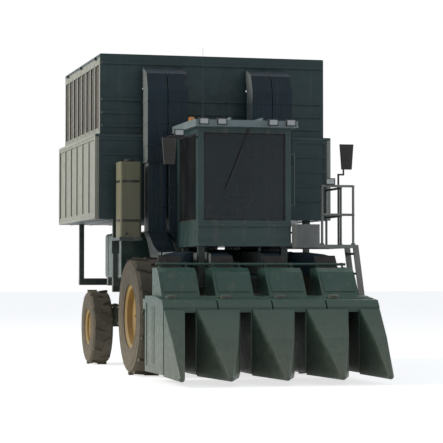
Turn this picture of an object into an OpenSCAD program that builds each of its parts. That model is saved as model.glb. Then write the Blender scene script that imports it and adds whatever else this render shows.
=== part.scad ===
// Basket cotton harvester with four row units.
// Forward is -Y, +X is the machine's left, +Z is up, the ground is at Z = 0. Millimetres.

/* [Layout] */
// From the middle of the machine forward to the divider tips
front_reach = 4200; // [4000:10:4300]
// From the middle of the machine back to the rear bumper
rear_reach = 4200; // [4150:10:4300]
// From the middle of the machine back to the basket's front face
basket_front = 60; // [40:5:120]

/* [Basket] */
// Width of the lower section
basket_w = 3920; // [3800:10:4000]
// Length of the lower section
basket_l = 3600; // [3500:10:3640]
// Underside of the basket floor above the ground
basket_z = 2450; // [2440:5:2500]
// Height of the lower section
lower_h = 1360; // [1300:10:1400]
// Top rim of the upper section above the ground
rim_z = 5050; // [4950:10:5100]
// Step from the lower section's outside to the upper section's outside
basket_inset = 90; // [70:5:110]
// Thickness of the basket walls, ribs included
basket_wall = 40; // [30:1:50]
// Thickness of the basket floor
basket_floor_t = 50; // [40:1:60]
// How far the upper section hangs into the lower one when raised
basket_lap = 90; // [60:5:130]
// Travel of the upper section
raise_travel = 1080; // [900:10:1100]
// Height of the grate lid's frame
lid_h = 50; // [40:1:60]
// Distance of the dumping hinge from the middle
dump_x = 1600; // [1500:10:1700]
// How far the dumping hinge lies below the basket floor
dump_drop = 70; // [60:1:80]

/* [Wheels] */
// Height of the drive wheels' axle above the ground, standing on two lugs
drive_r = 915; // [880:5:940]
// Width of the drive tyres
drive_w = 500; // [440:10:520]
// Rim radius of the drive wheels
drive_rim_r = 483; // [440:1:500]
// From the middle to the centre of a drive wheel
drive_x = 1350; // [1340:5:1400]
// Drive axle in front of the basket's front face
drive_ahead = 900; // [850:10:940]
// Height of the steered wheels' axle above the ground, standing on two lugs
steer_r = 650; // [600:5:660]
// Width of the steered tyres
steer_w = 360; // [300:10:370]
// Rim radius of the steered wheels
steer_rim_r = 305; // [290:1:330]
// From the middle to the centre of a steered wheel
steer_x = 1400; // [1400:5:1440]
// Distance between the two axles
wheelbase = 3800; // [3700:10:3850]

/* [Header] */
// Distance between two rows
row_pitch = 810; // [800:1:830]
// Number of rows
rows = 4; // [4:1:4]
// Width of a row's throat
throat_w = 160; // [130:5:170]
// Height of a row's throat above the ground
throat_top = 1020; // [900:10:1040]
// Gap between two row units
unit_gap = 20; // [14:1:30]
// Length of a row unit
unit_l = 1250; // [1200:10:1300]
// From the front axle forward to the rear of the row units
header_ahead = 1310; // [1290:5:1330]
// Ground clearance of the row units
unit_clear = 140; // [120:5:180]
// Top of the cabinets above the ground
cabinet_top = 1250; // [1200:10:1260]
// Top of the hoods above the ground
hood_top = 1660; // [1600:10:1670]

/* [Cab] */
// Width of the cab
cab_w = 1460; // [1400:10:1470]
// Length of the cab
cab_l = 1450; // [1440:10:1460]
// Gap between the cab and the basket's front face
cab_gap = 450; // [440:5:460]
// Underside of the cab floor above the ground
cab_z = 1990; // [1980:5:2000]
// Underside of the roof above the ground
cab_top = 3790; // [3760:10:3850]
// Thickness of the cab's walls
cab_wall = 50; // [40:1:60]
// Sill of the windows above the ground
sill_z = 2380; // [2360:10:2440]
// Height of the roof moulding
roof_h = 155; // [140:5:180]

/* [Ducts] */
// Outside width of a lower duct
duct_w = 290; // [270:2:294]
// Outside depth of a lower duct
duct_d = 330; // [300:2:336]
// Sheet thickness of the ducts
duct_t = 6; // [4:1:8]
// Room between a lower duct and the sleeve that slides over it
duct_play = 10; // [8:1:12]
// Middle of an inner duct beside the cab
duct_in_x = 690; // [680:2:692]
// Middle of an outer duct beside the cab
duct_out_x = 1030; // [1028:2:1040]

/* [Chassis] */
// Middle of a main rail
rail_x = 450; // [430:5:470]
// Width of a main rail
rail_w = 120; // [100:5:130]
// Underside of the main rails above the ground
rail_z = 1250; // [1240:5:1260]
// Height of a main rail
rail_h = 250; // [220:5:255]

/* [Hidden] */
$fn = 48;
fit = 0.3;           // seat between pieces that touch
run = 0.05;          // radial clearance of a pin in its eye

// Stations along the machine
basket_rear = basket_front + basket_l;
axle_f = basket_front - drive_ahead;
axle_r = axle_f + wheelbase;
cab_rear = basket_front - cab_gap;
cab_front = cab_rear - cab_l;
rail_top = rail_z + rail_h;
rail_front = axle_f - 600;
rail_rear = rear_reach - 300;
unit_rear = axle_f - header_ahead;
unit_front = unit_rear - unit_l;
nose_l = front_reach + unit_front;
split_z = basket_z + lower_h;
upper_z = split_z - basket_lap;
dump_z = basket_z - dump_drop;

// Header hinge and its lift cylinders: pins in Y and Z, and the places across
lift_y = unit_rear + 1000;
lift_z = 1150;
lift_arm_x = 650;
lift_cyl_x = 820;
lift_foot = [lift_y + 70, 600];
lift_eye = [unit_rear + 350, 950];

// Dump cylinders: chassis pin and basket pin in X and Z, and the places along Y
dump_foot = [dump_x - 700, 1170];
dump_eye = [dump_x - 1300, dump_z];
dump_y = [basket_front + 690, basket_front + 2040];
hinge_y = [basket_front + 190, basket_rear - 260];
king_x = steer_x - 320;

// Basic shapes: a block between spans, bars along each axis, and extruded outlines
module block(x, y, z)
  translate([x[0], y[0], z[0]]) cube([x[1] - x[0], y[1] - y[0], z[1] - z[0]]);
module bar_x(x, y, z, r) translate([x[0], y, z]) rotate([0, 90, 0]) cylinder(h = x[1] - x[0], r = r);
module bar_y(x, y, z, r) translate([x, y[1], z]) rotate([90, 0, 0]) cylinder(h = y[1] - y[0], r = r);
module bar_z(x, y, z, r) translate([x, y, z[0]]) cylinder(h = z[1] - z[0], r = r);
module side_cut(x, outline)
  translate([x[0], 0, 0]) rotate([90, 0, 90]) linear_extrude(x[1] - x[0]) polygon(outline);
module front_cut(y, outline)
  translate([0, y[1], 0]) rotate([90, 0, 0]) linear_extrude(y[1] - y[0]) polygon(outline);
module both_sides() { children(); mirror([1, 0, 0]) children(); }
// A straight bar between two points in a side plane, [Y, Z] each
module strut_side(x, a, b, r) {
  d = b - a;
  translate([x, a[0], a[1]]) rotate([-atan2(d[0], d[1]), 0, 0]) cylinder(h = norm(d), r = r);
}
// A straight bar between two points in a front plane, [X, Z] each
module strut_front(y, a, b, r) {
  d = b - a;
  translate([a[0], y, a[1]]) rotate([0, atan2(d[0], d[1]), 0]) cylinder(h = norm(d), r = r);
}

// Chassis: two box rails, cross members between them, and outriggers bolted to their outer faces
ear_t = 20;
beam_h = 120;
beam_z = [rail_top - beam_h, rail_top];
rail_in = rail_x - rail_w / 2;
rail_out = rail_x + rail_w / 2;
bolted = rail_out + fit;
hood_y = [rear_reach - 1870, rear_reach - 120];
hood_x = 620;
hood_z = 2320;
tank_y = [basket_front + 440, basket_front + 1840];
oil_y = [basket_front + 900, basket_front + 1780];
oil_x = [hood_x, hood_x + 630];
mount_x = [rail_out + 90, rail_out + 190];
mount_y = [cab_front + 140, cab_rear - 260];
pin_r = 30;
bumper_h = 160;
fan_y = axle_f + 280;
duct_lift = 75;
saddle_y = [lift_y + 50, lift_y + 110];
saddle_x = [860, 940];
members = [rail_front, lift_y - 60, fan_y - 60, basket_front + 40, basket_front + 1240, hood_y[0] + 150,
  axle_r + 390, rail_rear - 120];
module outrigger(x, y) block(x, [y - 60, y + 60], beam_z);
module dump_lugs(y) {
  for (s = [-1, 1]) {
    front_cut([y + s * 66 - ear_t / 2, y + s * 66 + ear_t / 2],
      [[dump_foot[0] - 90, beam_z[0]], [dump_foot[0] - 60, dump_foot[1] - 60],
       [dump_foot[0] + 60, dump_foot[1] - 60], [dump_foot[0] + 90, beam_z[0]]]);
    block([bolted, dump_x + 40], [y + s * 95 - 35, y + s * 95 + 35], beam_z);
  }
  bar_y(dump_foot[0], [y - 82, y + 82], dump_foot[1], pin_r);
}
module hinge_stand(y) {
  outrigger([bolted, dump_x + 40], y);
  block([dump_x - 40, dump_x + 40], [y - 60, y + 60], [rail_top - 10, dump_z - 75]);
  for (s = [-1, 1])
    block([dump_x - 40, dump_x + 40], [y + s * 50 - 12, y + s * 50 + 12], [dump_z - 80, dump_z + 45]);
  bar_y(dump_x, [y - 64, y + 64], dump_z, pin_r);
}
module basket_rest(y) {
  outrigger([-dump_x - 40, -bolted], y);
  block([-dump_x - 40, -dump_x + 40], [y - 40, y + 40], [rail_top - 10, basket_z - fit]);
}
// The rear cab mounts also carry the outer ducts
module cab_mount(y, reach) {
  block([bolted, reach], [y - 50, y + 50], beam_z);
  block(mount_x, [y - 50, y + 50], [rail_top - 10, cab_z - fit]);
  if (reach > saddle_x[1])
    block(saddle_x, [y - 50, y + 50], [rail_top - 10, rail_top + duct_lift - fit]);
}
module header_ears() {
  block([bolted, lift_cyl_x + 64], [lift_y - 60, lift_y + 60], [rail_z, rail_z + beam_h]);
  for (x = [lift_arm_x - 52, lift_arm_x + 32])
    block([x, x + ear_t], [lift_y - 60, lift_y + 60], [lift_z - 60, rail_z + 10]);
  bar_x([lift_arm_x - 60, lift_arm_x + 60], lift_y, lift_z, pin_r);
  for (x = [lift_cyl_x - 64, lift_cyl_x + 44])
    block([x, x + ear_t], [lift_foot[0] - 50, lift_foot[0] + 50], [lift_foot[1] - 50, rail_z + 10]);
  bar_x([lift_cyl_x - 70, lift_cyl_x + 70], lift_foot[0], lift_foot[1], pin_r);
}
module rear_beam() {
  for (s = [-1, 1])
    block([s * rail_x - 30, s * rail_x + 30], [rail_rear + fit, rear_reach - 80], [rail_z + 20, rail_z + 140]);
  difference() {
    block([-900, 900], [rear_reach - 90, rear_reach], [rail_z, rail_z + bumper_h]);
    bar_z(0, rear_reach - 45, [rail_z - 1, rail_z + bumper_h + 1], 20);
  }
}
module frame() color("darkslategray") {
  both_sides() block([rail_in, rail_out], [rail_front, rail_rear], [rail_z, rail_top]);
  for (y = members) block([-rail_in + fit, rail_in - fit], [y, y + 120], [rail_z + 20, rail_top - 100]);
  for (y = hinge_y) hinge_stand(y);
  for (y = hinge_y) basket_rest(y);
  for (y = dump_y) dump_lugs(y);
  for (y = [tank_y[0] + 200, tank_y[1] - 200]) outrigger([-1450, -bolted], y);
  both_sides() {
    cab_mount(mount_y[0], mount_x[1]);
    cab_mount(mount_y[1], saddle_x[1] + 20);
    block([rail_x - 40, rail_x + 40], saddle_y, [rail_top + fit, rail_top + duct_lift - fit]);
    header_ears();
    block([rail_x - 50, rail_x + 50], [axle_f - 110, axle_f + 110], [drive_r + 100, rail_z - fit]);
  }
  block([-60, 60], [axle_r - 130, axle_r + 130], [1040, rail_top - 240]);
  block([-rail_in + fit, rail_in - fit], [axle_r - 60, axle_r + 60], [rail_top - 250, rail_top - 100]);
  rear_beam();
}

module front_axle() color("dimgray")
  difference() {
    union() {
      bar_x([-1000, 1000], axle_f, drive_r, 130);
      block([-220, 220], [axle_f - 200, axle_f + 200], [drive_r - 190, drive_r + 200]);
      both_sides() {
        bar_x([900, 1075], axle_f, drive_r, 240);
        bar_x([1070, drive_x + 40], axle_f, drive_r, 90);
      }
    }
    both_sides() block([rail_x - 60, rail_x + 60], [axle_f - 120, axle_f + 120],
      [drive_r + 100 - fit, drive_r + 300]);
  }

module rear_axle() color("dimgray") {
  block([-king_x, king_x], [axle_r - 80, axle_r + 80], [steer_r + 120, steer_r + 320]);
  both_sides() bar_z(king_x, axle_r, [steer_r + 60, steer_r + 340], 80);
  block([-130, 130], [axle_r - 130, axle_r + 130], [steer_r + 100, 1040 - fit]);
  both_sides() for (z = [[steer_r + 5, steer_r + 65], [steer_r + 335, steer_r + 405]])
    bar_z(king_x, axle_r, z, 35);
  bar_x([-330, 330], axle_r - 170, steer_r + 220, 45);
  block([-60, 60], [axle_r - 135, axle_r - 70], [steer_r + 180, steer_r + 260]);
}

// The left steering knuckle on its kingpin
module knuckle_left() color("dimgray")
  difference() {
    union() {
      for (z = [[steer_r + 5, steer_r + 55], [steer_r + 345, steer_r + 395]])
        block([king_x - 70, king_x + 120], [axle_r - 70, axle_r + 70], z);
      block([king_x + 90, king_x + 130], [axle_r - 90, axle_r + 90], [steer_r - 90, steer_r + 395]);
      bar_x([king_x + 125, steer_x + 60], axle_r, steer_r, 50);
    }
    bar_z(king_x, axle_r, [steer_r, steer_r + 400], 35 + run);
  }
module knuckle_right() mirror([1, 0, 0]) knuckle_left();

// Wheels: a revolved rim with its dish and hub, and a revolved tyre with its tread bars.
// Columns of a wheel: X of its centre, Y, radius, width, rim radius, spindle radius, hub reach
module wheel_rim(x, y, r, w, rim_r, pin, hub)
  translate([x, y, r]) rotate([0, 90, 0])
    rotate_extrude($fn = 72) polygon([
      [pin + run, -hub], [pin + 45, -hub], [pin + 60, 20], [rim_r - 70, 70], [rim_r - 40, 70],
      [rim_r - 40, -w * 0.36], [rim_r + 12, -w * 0.42], [rim_r + 12, -w * 0.42 + 14],
      [rim_r - fit, -w * 0.34], [rim_r - fit, w * 0.34], [rim_r + 12, w * 0.42 - 14],
      [rim_r + 12, w * 0.42], [rim_r - 40, w * 0.36], [rim_r - 40, 95], [rim_r - 80, 95],
      [pin + 70, 45], [pin + 45, 70], [pin + run, 70]]);
// A tread bar reaches from near the middle of the tread to its edge, turned by bar_turn.
// Its outer corner touches the wheel's radius.
bar_turn = 24;
module tread_bar(r, w, depth, thick) {
  reach = w * 0.47 * sin(bar_turn) + thick / 2;
  top = sqrt(r * r - reach * reach);
  rotate([0, 0, asin(reach / r)]) rotate([bar_turn, 0, 0])
    block([r - depth - 18, top], [-thick / 2, thick / 2], [w * 0.02, w * 0.47]);
}
// A tyre has its bars on both sides of the tread, half a pitch apart, and stands on one of each side.
// Its size comes as for the rim, then the bars a side, their depth and thickness, and its facets.
module wheel_tyre(x, y, r, w, rim_r, bars, depth, thick, facets)
  translate([x, y, r]) rotate([0, 90, 0]) {
    body_r = r - depth;
    side_r = rim_r + (r - rim_r) * 0.45;
    rotate_extrude($fn = facets) polygon([
      [rim_r + fit, -w * 0.34], [rim_r + 13, -w * 0.42 + 14], [rim_r + 13, -w * 0.46],
      [side_r, -w / 2], [body_r - 30, -w * 0.48], [body_r, -w * 0.38],
      [body_r, w * 0.38], [body_r - 30, w * 0.48], [side_r, w / 2],
      [rim_r + 13, w * 0.46], [rim_r + 13, w * 0.42 - 14], [rim_r + fit, w * 0.34]]);
    tip_r = r / cos(90 / bars);
    for (i = [0 : bars - 1]) {
      rotate([0, 0, (i + 0.25) * 360 / bars]) tread_bar(tip_r, w, depth, thick);
      mirror([0, 0, 1]) rotate([0, 0, (i + 0.75) * 360 / bars]) tread_bar(tip_r, w, depth, thick);
    }
  }
module drive_rim_left() color("goldenrod") wheel_rim(drive_x, axle_f, drive_r, drive_w, drive_rim_r, 90, 60);
module drive_rim_right() mirror([1, 0, 0]) drive_rim_left();
module drive_tyre_left() color("dimgray")
  wheel_tyre(drive_x, axle_f, drive_r, drive_w, drive_rim_r, 14, 36, 48, 36);
module drive_tyre_right() mirror([1, 0, 0]) drive_tyre_left();
module steer_rim_left() color("goldenrod") wheel_rim(steer_x, axle_r, steer_r, steer_w, steer_rim_r, 50, 60);
module steer_rim_right() mirror([1, 0, 0]) steer_rim_left();
module steer_tyre_left() color("dimgray")
  wheel_tyre(steer_x, axle_r, steer_r, steer_w, steer_rim_r, 11, 26, 40, 28);
module steer_tyre_right() mirror([1, 0, 0]) steer_tyre_left();

// Engine bay behind the axle, tanks and the suction fan
louvres = 5;
louvre_pitch = 90;
module engine_block() color("gray")
  block([-330, 330], [hood_y[0] + 120, hood_y[1] - 580], [rail_top - 100 + fit, hood_z - 120]);
module engine_panels() color("darkgreen")
  difference() {
    block([-hood_x, hood_x], hood_y, [rail_top + fit, hood_z]);
    block([-hood_x + 30, hood_x - 30], [hood_y[0] + 30, hood_y[1] + 10], [rail_top - 1, hood_z - 30]);
    for (i = [0 : louvres - 1])
      block([-hood_x - 1, hood_x + 1], [hood_y[0] + 270, hood_y[0] + 970],
        [rail_top + 220 + i * louvre_pitch, rail_top + 260 + i * louvre_pitch]);
  }
screen_bars = 10;
screen_pitch = (hood_z - rail_top - 160) / screen_bars;
module cooling_screen() color("black") {
  difference() {
    block([-hood_x, hood_x], [hood_y[1] + fit, hood_y[1] + 40], [rail_top + fit, hood_z]);
    block([-hood_x + 60, hood_x - 60], [hood_y[1] - 1, hood_y[1] + 60], [rail_top + 60, hood_z - 60]);
  }
  for (i = [0 : screen_bars - 1])
    block([-hood_x + 50, hood_x - 50], [hood_y[1] + 10, hood_y[1] + 26],
      [rail_top + 95 + i * screen_pitch, rail_top + 107 + i * screen_pitch]);
  for (x = [-280, 0, 280])
    block([x - 8, x + 8], [hood_y[1] + 6, hood_y[1] + 30], [rail_top + 50, hood_z - 50]);
}
stack_at = [-470, hood_y[1] - 220];
// Columns: bottom and top above the hood, radius
stack_parts = [[fit, 200, 45], [195, 640, 95], [635, 980, 45]];
module exhaust() color("gray")
  for (s = stack_parts) bar_z(stack_at[0], stack_at[1], [hood_z + s[0], hood_z + s[1]], s[2]);
module fuel_tank() color("darkgreen")
  hull() for (x = [-1390, -620], z = [rail_top + 60, rail_top + 690])
    bar_y(x, tank_y, z, 60 - fit, $fn = 32);
module oil_tank() color("darkgreen") block(oil_x, oil_y, [rail_top + fit, rail_top + 640]);
module oil_carriers() color("darkslategray")
  for (y = [oil_y[0] + 100, oil_y[1] - 180]) block([bolted, oil_x[1]], [y, y + 100], beam_z);
shelf_x = [-dump_x - 60, -dump_x + 300];
shelf_y = [basket_front - 500, hinge_y[0] - 40 - fit];
shelf_z = 2100;
water_h = 1190;
module water_tank() color("khaki")
  hull() for (x = [shelf_x[0] + 50, shelf_x[1] - 50], y = [shelf_y[0] + 50, shelf_y[0] + 350])
    bar_z(x, y, [shelf_z + 50 + fit, shelf_z + 50 + water_h], 40, $fn = 32);
module tank_shelf() color("darkslategray") {
  block(shelf_x, [shelf_y[0], shelf_y[1] - 6], [shelf_z, shelf_z + 50]);
  block([shelf_x[0], shelf_x[0] + 120], [shelf_y[1] - 7, shelf_y[1]], [shelf_z - 200, shelf_z + 50]);
}
fan_z = rail_top + 235;
fan_r = 225;
module fan_housing() color("darkgreen")
  difference() {
    union() {
      bar_x([-200, 200], fan_y, fan_z, fan_r);
      block([-200, 200], [fan_y, fan_y + 440], [fan_z, fan_z + fan_r]);
      block([-200, 200], [fan_y - 50, fan_y + 50], [rail_top - 100 + fit, fan_z - 150]);
    }
    bar_x([-210, -160], fan_y, fan_z, 110);
    bar_x([160, 210], fan_y, fan_z, 110);
  }

// Cab: a hollow shell with its window and door openings
cab_x = cab_w / 2;
win_top = cab_top - 80;
door_y = [cab_front + 200, cab_rear - 310];
door_z = [cab_z + 90, win_top];
door_play = 8;
glass_t = 8;
side_win = [cab_front + 140, cab_rear - 170];
front_win = cab_x - 90;
rear_win = cab_x - 170;
rear_sill = sill_z + 250;
door_hinge = [cab_x + 15, door_y[1]];
door_hinge_z = [cab_z + 410, win_top - 320];
ledge = 35;
module cab_body() color("darkgreen") {
  for (z = door_hinge_z) {
    bar_z(door_hinge[0], door_hinge[1], [z - 40, z], 14);
    bar_z(door_hinge[0], door_hinge[1], [z - 40, z + 45], 6);
    block([cab_x - 1, door_hinge[0]], [door_hinge[1], door_hinge[1] + 60], [z - 40, z]);
  }
  difference() {
    union() {
      block([-cab_x, cab_x], [cab_front, cab_rear], [cab_z, cab_top]);
      block([-cab_x, cab_x], [cab_front - ledge, cab_front + 1], [sill_z - 90, sill_z - 50]);
      block([-cab_x, cab_x], [cab_front - ledge, cab_front + 1], [cab_z, cab_z + 60]);
    }
    block([-cab_x + cab_wall, cab_x - cab_wall], [cab_front + cab_wall, cab_rear - cab_wall],
      [cab_z + 60, cab_top + 1]);
    block([-front_win, front_win], [cab_front - 1, cab_front + cab_wall + 1], [sill_z, win_top]);
    block([-rear_win, rear_win], [cab_rear - cab_wall - 1, cab_rear + 1], [rear_sill, win_top]);
    block([-cab_x - 1, -cab_x + cab_wall + 1], side_win, [sill_z, win_top]);
    block([cab_x - cab_wall - 1, cab_x + 1], door_y, door_z);
  }
}
pane_z = [sill_z + fit, win_top - fit];
module cab_glass() color("dimgray") {
  block([-front_win + fit, front_win - fit], [cab_front + 20, cab_front + 20 + glass_t], pane_z);
  block([-rear_win + fit, rear_win - fit], [cab_rear - 20 - glass_t, cab_rear - 20],
    [rear_sill + fit, win_top - fit]);
  block([-cab_x + 20, -cab_x + 20 + glass_t], [side_win[0] + fit, side_win[1] - fit], pane_z);
}
roof_over = 70;
roof_front = cab_front - 150;
crown_x_r = 8000;
crown_y_r = 9000;
crown_y = (cab_front + cab_rear) / 2 + 100;
beacon_at = [-cab_x + 170, cab_rear - 300];
beacon_seat = cab_top + roof_h - 55;
module cab_roof() color("darkgreen")
  difference() {
    intersection() {
      block([-cab_x - roof_over, cab_x + roof_over], [roof_front, cab_rear + 30],
        [cab_top + fit, cab_top + roof_h]);
      bar_y(0, [roof_front - 50, cab_rear + 60], cab_top + roof_h - crown_x_r, crown_x_r, $fn = 400);
      bar_x([-cab_x - 100, cab_x + 100], crown_y, cab_top + roof_h - crown_y_r, crown_y_r, $fn = 400);
    }
    bar_z(beacon_at[0], beacon_at[1], [beacon_seat, beacon_seat + 200], 64);
  }
door_frame_w = 70;
door_panel_h = 260;
door_win_y = [door_y[0] + door_play + door_frame_w, door_y[1] - door_play - door_frame_w];
door_win_z = [door_z[0] + door_panel_h, door_z[1] - door_play - door_frame_w];
module door_frame() color("darkgreen") {
  for (z = door_hinge_z)
    difference() {
      union() {
        bar_z(door_hinge[0], door_hinge[1], [z + fit, z + 45], 14);
        block([cab_x - 1, door_hinge[0]], [door_hinge[1] - 60, door_hinge[1]], [z + fit, z + 45]);
      }
      bar_z(door_hinge[0], door_hinge[1], [z - 1, z + 46], 6 + run);
    }
  difference() {
    block([cab_x - cab_wall + 5, cab_x], [door_y[0] + door_play, door_y[1] - door_play],
      [door_z[0] + door_play, door_z[1] - door_play]);
    block([cab_x - cab_wall, cab_x + 1], door_win_y, door_win_z);
  }
}
module door_glass() color("dimgray")
  block([cab_x - 28, cab_x - 28 + glass_t], [door_win_y[0] + fit, door_win_y[1] - fit],
    [door_win_z[0] + fit, door_win_z[1] - fit]);
seat_y = cab_rear - 520;
floor_top = cab_z + 60;
module seat_base() color("dimgray") {
  block([-180, 180], [seat_y - 200, seat_y + 220], [floor_top + fit, floor_top + 50]);
  bar_z(0, seat_y, [floor_top + 49, floor_top + 280], 90);
  block([-240, 240], [seat_y - 250, seat_y + 250], [floor_top + 279, floor_top + 310]);
  for (s = [-1, 1]) {
    block([s * 302 - 28, s * 302 + 28], [seat_y - 180, seat_y + 200], [floor_top + 540, floor_top + 580]);
    block([s * 264 - 25, s * 264 + 25], [seat_y + 120, seat_y + 170], [floor_top + 285, floor_top + 545]);
  }
}
module seat_cushion() color("darkslategray") {
  hull() for (x = [-200, 200], y = [seat_y - 220, seat_y + 130])
    bar_z(x, y, [floor_top + 310 + fit, floor_top + 420], 35, $fn = 24);
  hull() for (x = [-190, 190], z = [floor_top + 458 + fit, floor_top + 990])
    bar_y(x, [seat_y + 150, seat_y + 250], z, 38, $fn = 24);
}
wheel_y = cab_front + 430;
module cab_controls() color("dimgray") {
  block([-70, 70], [wheel_y - 240, wheel_y - 120], [floor_top + fit, floor_top + 50]);
  strut_side(0, [wheel_y - 178, floor_top + 20], [wheel_y - 9, floor_top + 662], 40);
  translate([0, wheel_y - 8, floor_top + 670]) rotate([-14, 0, 0]) {
    rotate_extrude() translate([190, 0]) circle(r = 14, $fn = 16);
    cylinder(h = 30, r = 50, center = true);
    for (a = [30, 150, 270]) rotate([0, 0, a]) block([30, 182], [-10, 10], [-6, 6]);
  }
  block([-cab_x + 90, -380], [seat_y - 380, seat_y + 150], [floor_top + fit, floor_top + 500]);
}

// Operator's platform, handrails and ladder on the left
deck_x = cab_x + 1020;
deck_y = [cab_front - 60, cab_rear - 60];
deck_z = cab_z - 20;
deck_t = 50;
ladder_y = [deck_y[0] + 150, deck_y[0] + 600];
ladder_foot = [deck_x + 290, 480];
rail_r = 19;
rail_tops = [deck_z + 510, deck_z + 950];
post_x = deck_x - 30;
post_base = deck_z + deck_t + fit;
module post(x, y) {
  bar_z(x, y, [post_base, rail_tops[1]], rail_r);
  bar_z(x, y, [post_base, post_base + 12], rail_r + 16);
}
module platform() color("dimgray") {
  difference() {
    block([cab_x + fit, deck_x], deck_y, [deck_z, deck_z + deck_t]);
    for (i = [0 : 4], j = [0 : 4])
      block([cab_x + 60 + i * 180, cab_x + 200 + i * 180],
        [deck_y[0] + 80 + j * 265, deck_y[0] + 295 + j * 265], [deck_z - 1, deck_z + deck_t + 1]);
  }
  block([cab_x + fit, cab_x + 440], [deck_y[0], deck_y[0] + 20], [deck_z + deck_t - 1, cab_z + 340]);
}
module handrails() color("dimgray") {
  post(post_x, deck_y[0] + 40);
  post(post_x, ladder_y[1] + 60);
  post(post_x, deck_y[1] - 40);
  post(cab_x + 490, deck_y[0] + 40);
  for (z = rail_tops) {
    bar_y(post_x, [ladder_y[1] + 60, deck_y[1] - 40], z, rail_r);
    bar_x([cab_x + 490, post_x], deck_y[0] + 40, z, rail_r);
  }
}
module ladder_side(y)
  front_cut([y, y + 30], [[deck_x + fit, deck_z + deck_t], [deck_x + 90, deck_z + deck_t],
    ladder_foot, ladder_foot - [90, 0]]);
steps = 5;
module ladder() color("dimgray") {
  for (y = [ladder_y[0], ladder_y[1] - 30]) ladder_side(y);
  for (i = [0 : steps - 1]) {
    t = (i + 0.4) / steps;
    z = deck_z + deck_t + t * (ladder_foot[1] - deck_z - deck_t);
    x = deck_x + 10 + t * (ladder_foot[0] - 90 - deck_x);
    block([x, x + 70], [ladder_y[0] + 29, ladder_y[1] - 29], [z - 30, z]);
  }
}
// Mirrors on their posts: the left one stands on the deck's edge, the right one on an arm from the cab
mirror_y = deck_y[1] - 500;
arm_z = cab_top - 150;
arm_y = cab_front + 60;
module mirror_head(x, y, z)
  front_cut([y, y + 50], [[x - 80, z - 200], [x + 80, z - 200], [x + 110, z + 200], [x - 110, z + 200]]);
module mirrors() color("black") {
  bar_z(deck_x + 25, mirror_y, [deck_z + 5, 3150], 16);
  block([deck_x + fit, deck_x + 41], [mirror_y - 16, mirror_y + 16], [deck_z + 4, deck_z + 46]);
  bar_x([deck_x + 12, deck_x + 120], mirror_y, 3150, 14);
  bar_z(deck_x + 110, mirror_y, [3145, 3580], 14);
  mirror_head(deck_x + 150, mirror_y - 60, 3430);
  bar_x([-cab_x - 460, -cab_x - fit], arm_y, arm_z, 14);
  bar_z(-cab_x - 440, arm_y, [arm_z - 280, arm_z + 5], 14);
  mirror_head(-cab_x - 440, arm_y - 60, arm_z - 220);
}
// Columns of a front lamp: X, Y of its back, Z of its underside
front_lamps = [
  [-680, roof_front - fit, cab_top + 25], [-400, roof_front - fit, cab_top + 25],
  [400, roof_front - fit, cab_top + 25], [680, roof_front - fit, cab_top + 25],
  [-cab_x - 280, arm_y + 20, arm_z + 14 + fit],
  [cab_x + 620, deck_y[0] + 60, rail_tops[1] + rail_r + fit]];
module lamps() color("white") {
  for (p = front_lamps) block([p[0] - 75, p[0] + 75], [p[1] - 40, p[1]], [p[2], p[2] + 100]);
  for (x = [-840, 840])
    block([x - 60, x + 60], [rear_reach - 60, rear_reach], [rail_z + bumper_h + fit, rail_z + 270]);
}
module beacon() color("orange") {
  bar_z(beacon_at[0], beacon_at[1], [beacon_seat + fit, beacon_seat + 30], 60);
  bar_z(beacon_at[0], beacon_at[1], [beacon_seat + 29, beacon_seat + 135], 48);
}

// Conveying ducts: tubes lofted through tilted rectangular sections, bolted together at their flanges.
// Columns of a station: X, Y, Z of its middle, tilt of its path from level, half width, half depth,
// and how far a flange or collar stands proud there
function proud(st) = is_undef(st[6]) ? 0 : st[6];
function ring(st, t) = [for (c = [[-1, -1], [1, -1], [1, 1], [-1, 1]]) let (across = c[1] * (st[5] - t))
  [st[0] + c[0] * (st[4] - t), st[1] - across * sin(st[3]), st[2] + across * cos(st[3])]];
module tube(stations, t) {
  n = len(stations);
  points = [for (s = stations) each concat(ring(s, -proud(s)), ring(s, t))];
  walls = [for (i = [0 : n - 2], k = [0 : 3]) let (a = i * 8, b = a + 8, m = (k + 1) % 4)
    each [[a + k, b + m, a + m], [a + k, b + k, b + m],
          [a + 4 + k, a + 4 + m, b + 4 + m], [a + 4 + k, b + 4 + m, b + 4 + k]]];
  ends = [for (e = [[0, 0], [(n - 1) * 8, 1]], k = [0 : 3]) let (a = e[0], m = (k + 1) % 4)
    each (e[1] == 0
      ? [[a + k, a + m, a + 4 + m], [a + k, a + 4 + m, a + 4 + k]]
      : [[a + k, a + 4 + m, a + m], [a + k, a + 4 + k, a + 4 + m]])];
  polyhedron(points, concat(walls, ends));
}
duct_y = basket_front - 10 - duct_play - duct_t - duct_d / 2 - 30;
low_z = rail_top + duct_lift + duct_d / 2;
hw = duct_w / 2;
hd = duct_d / 2;
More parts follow.
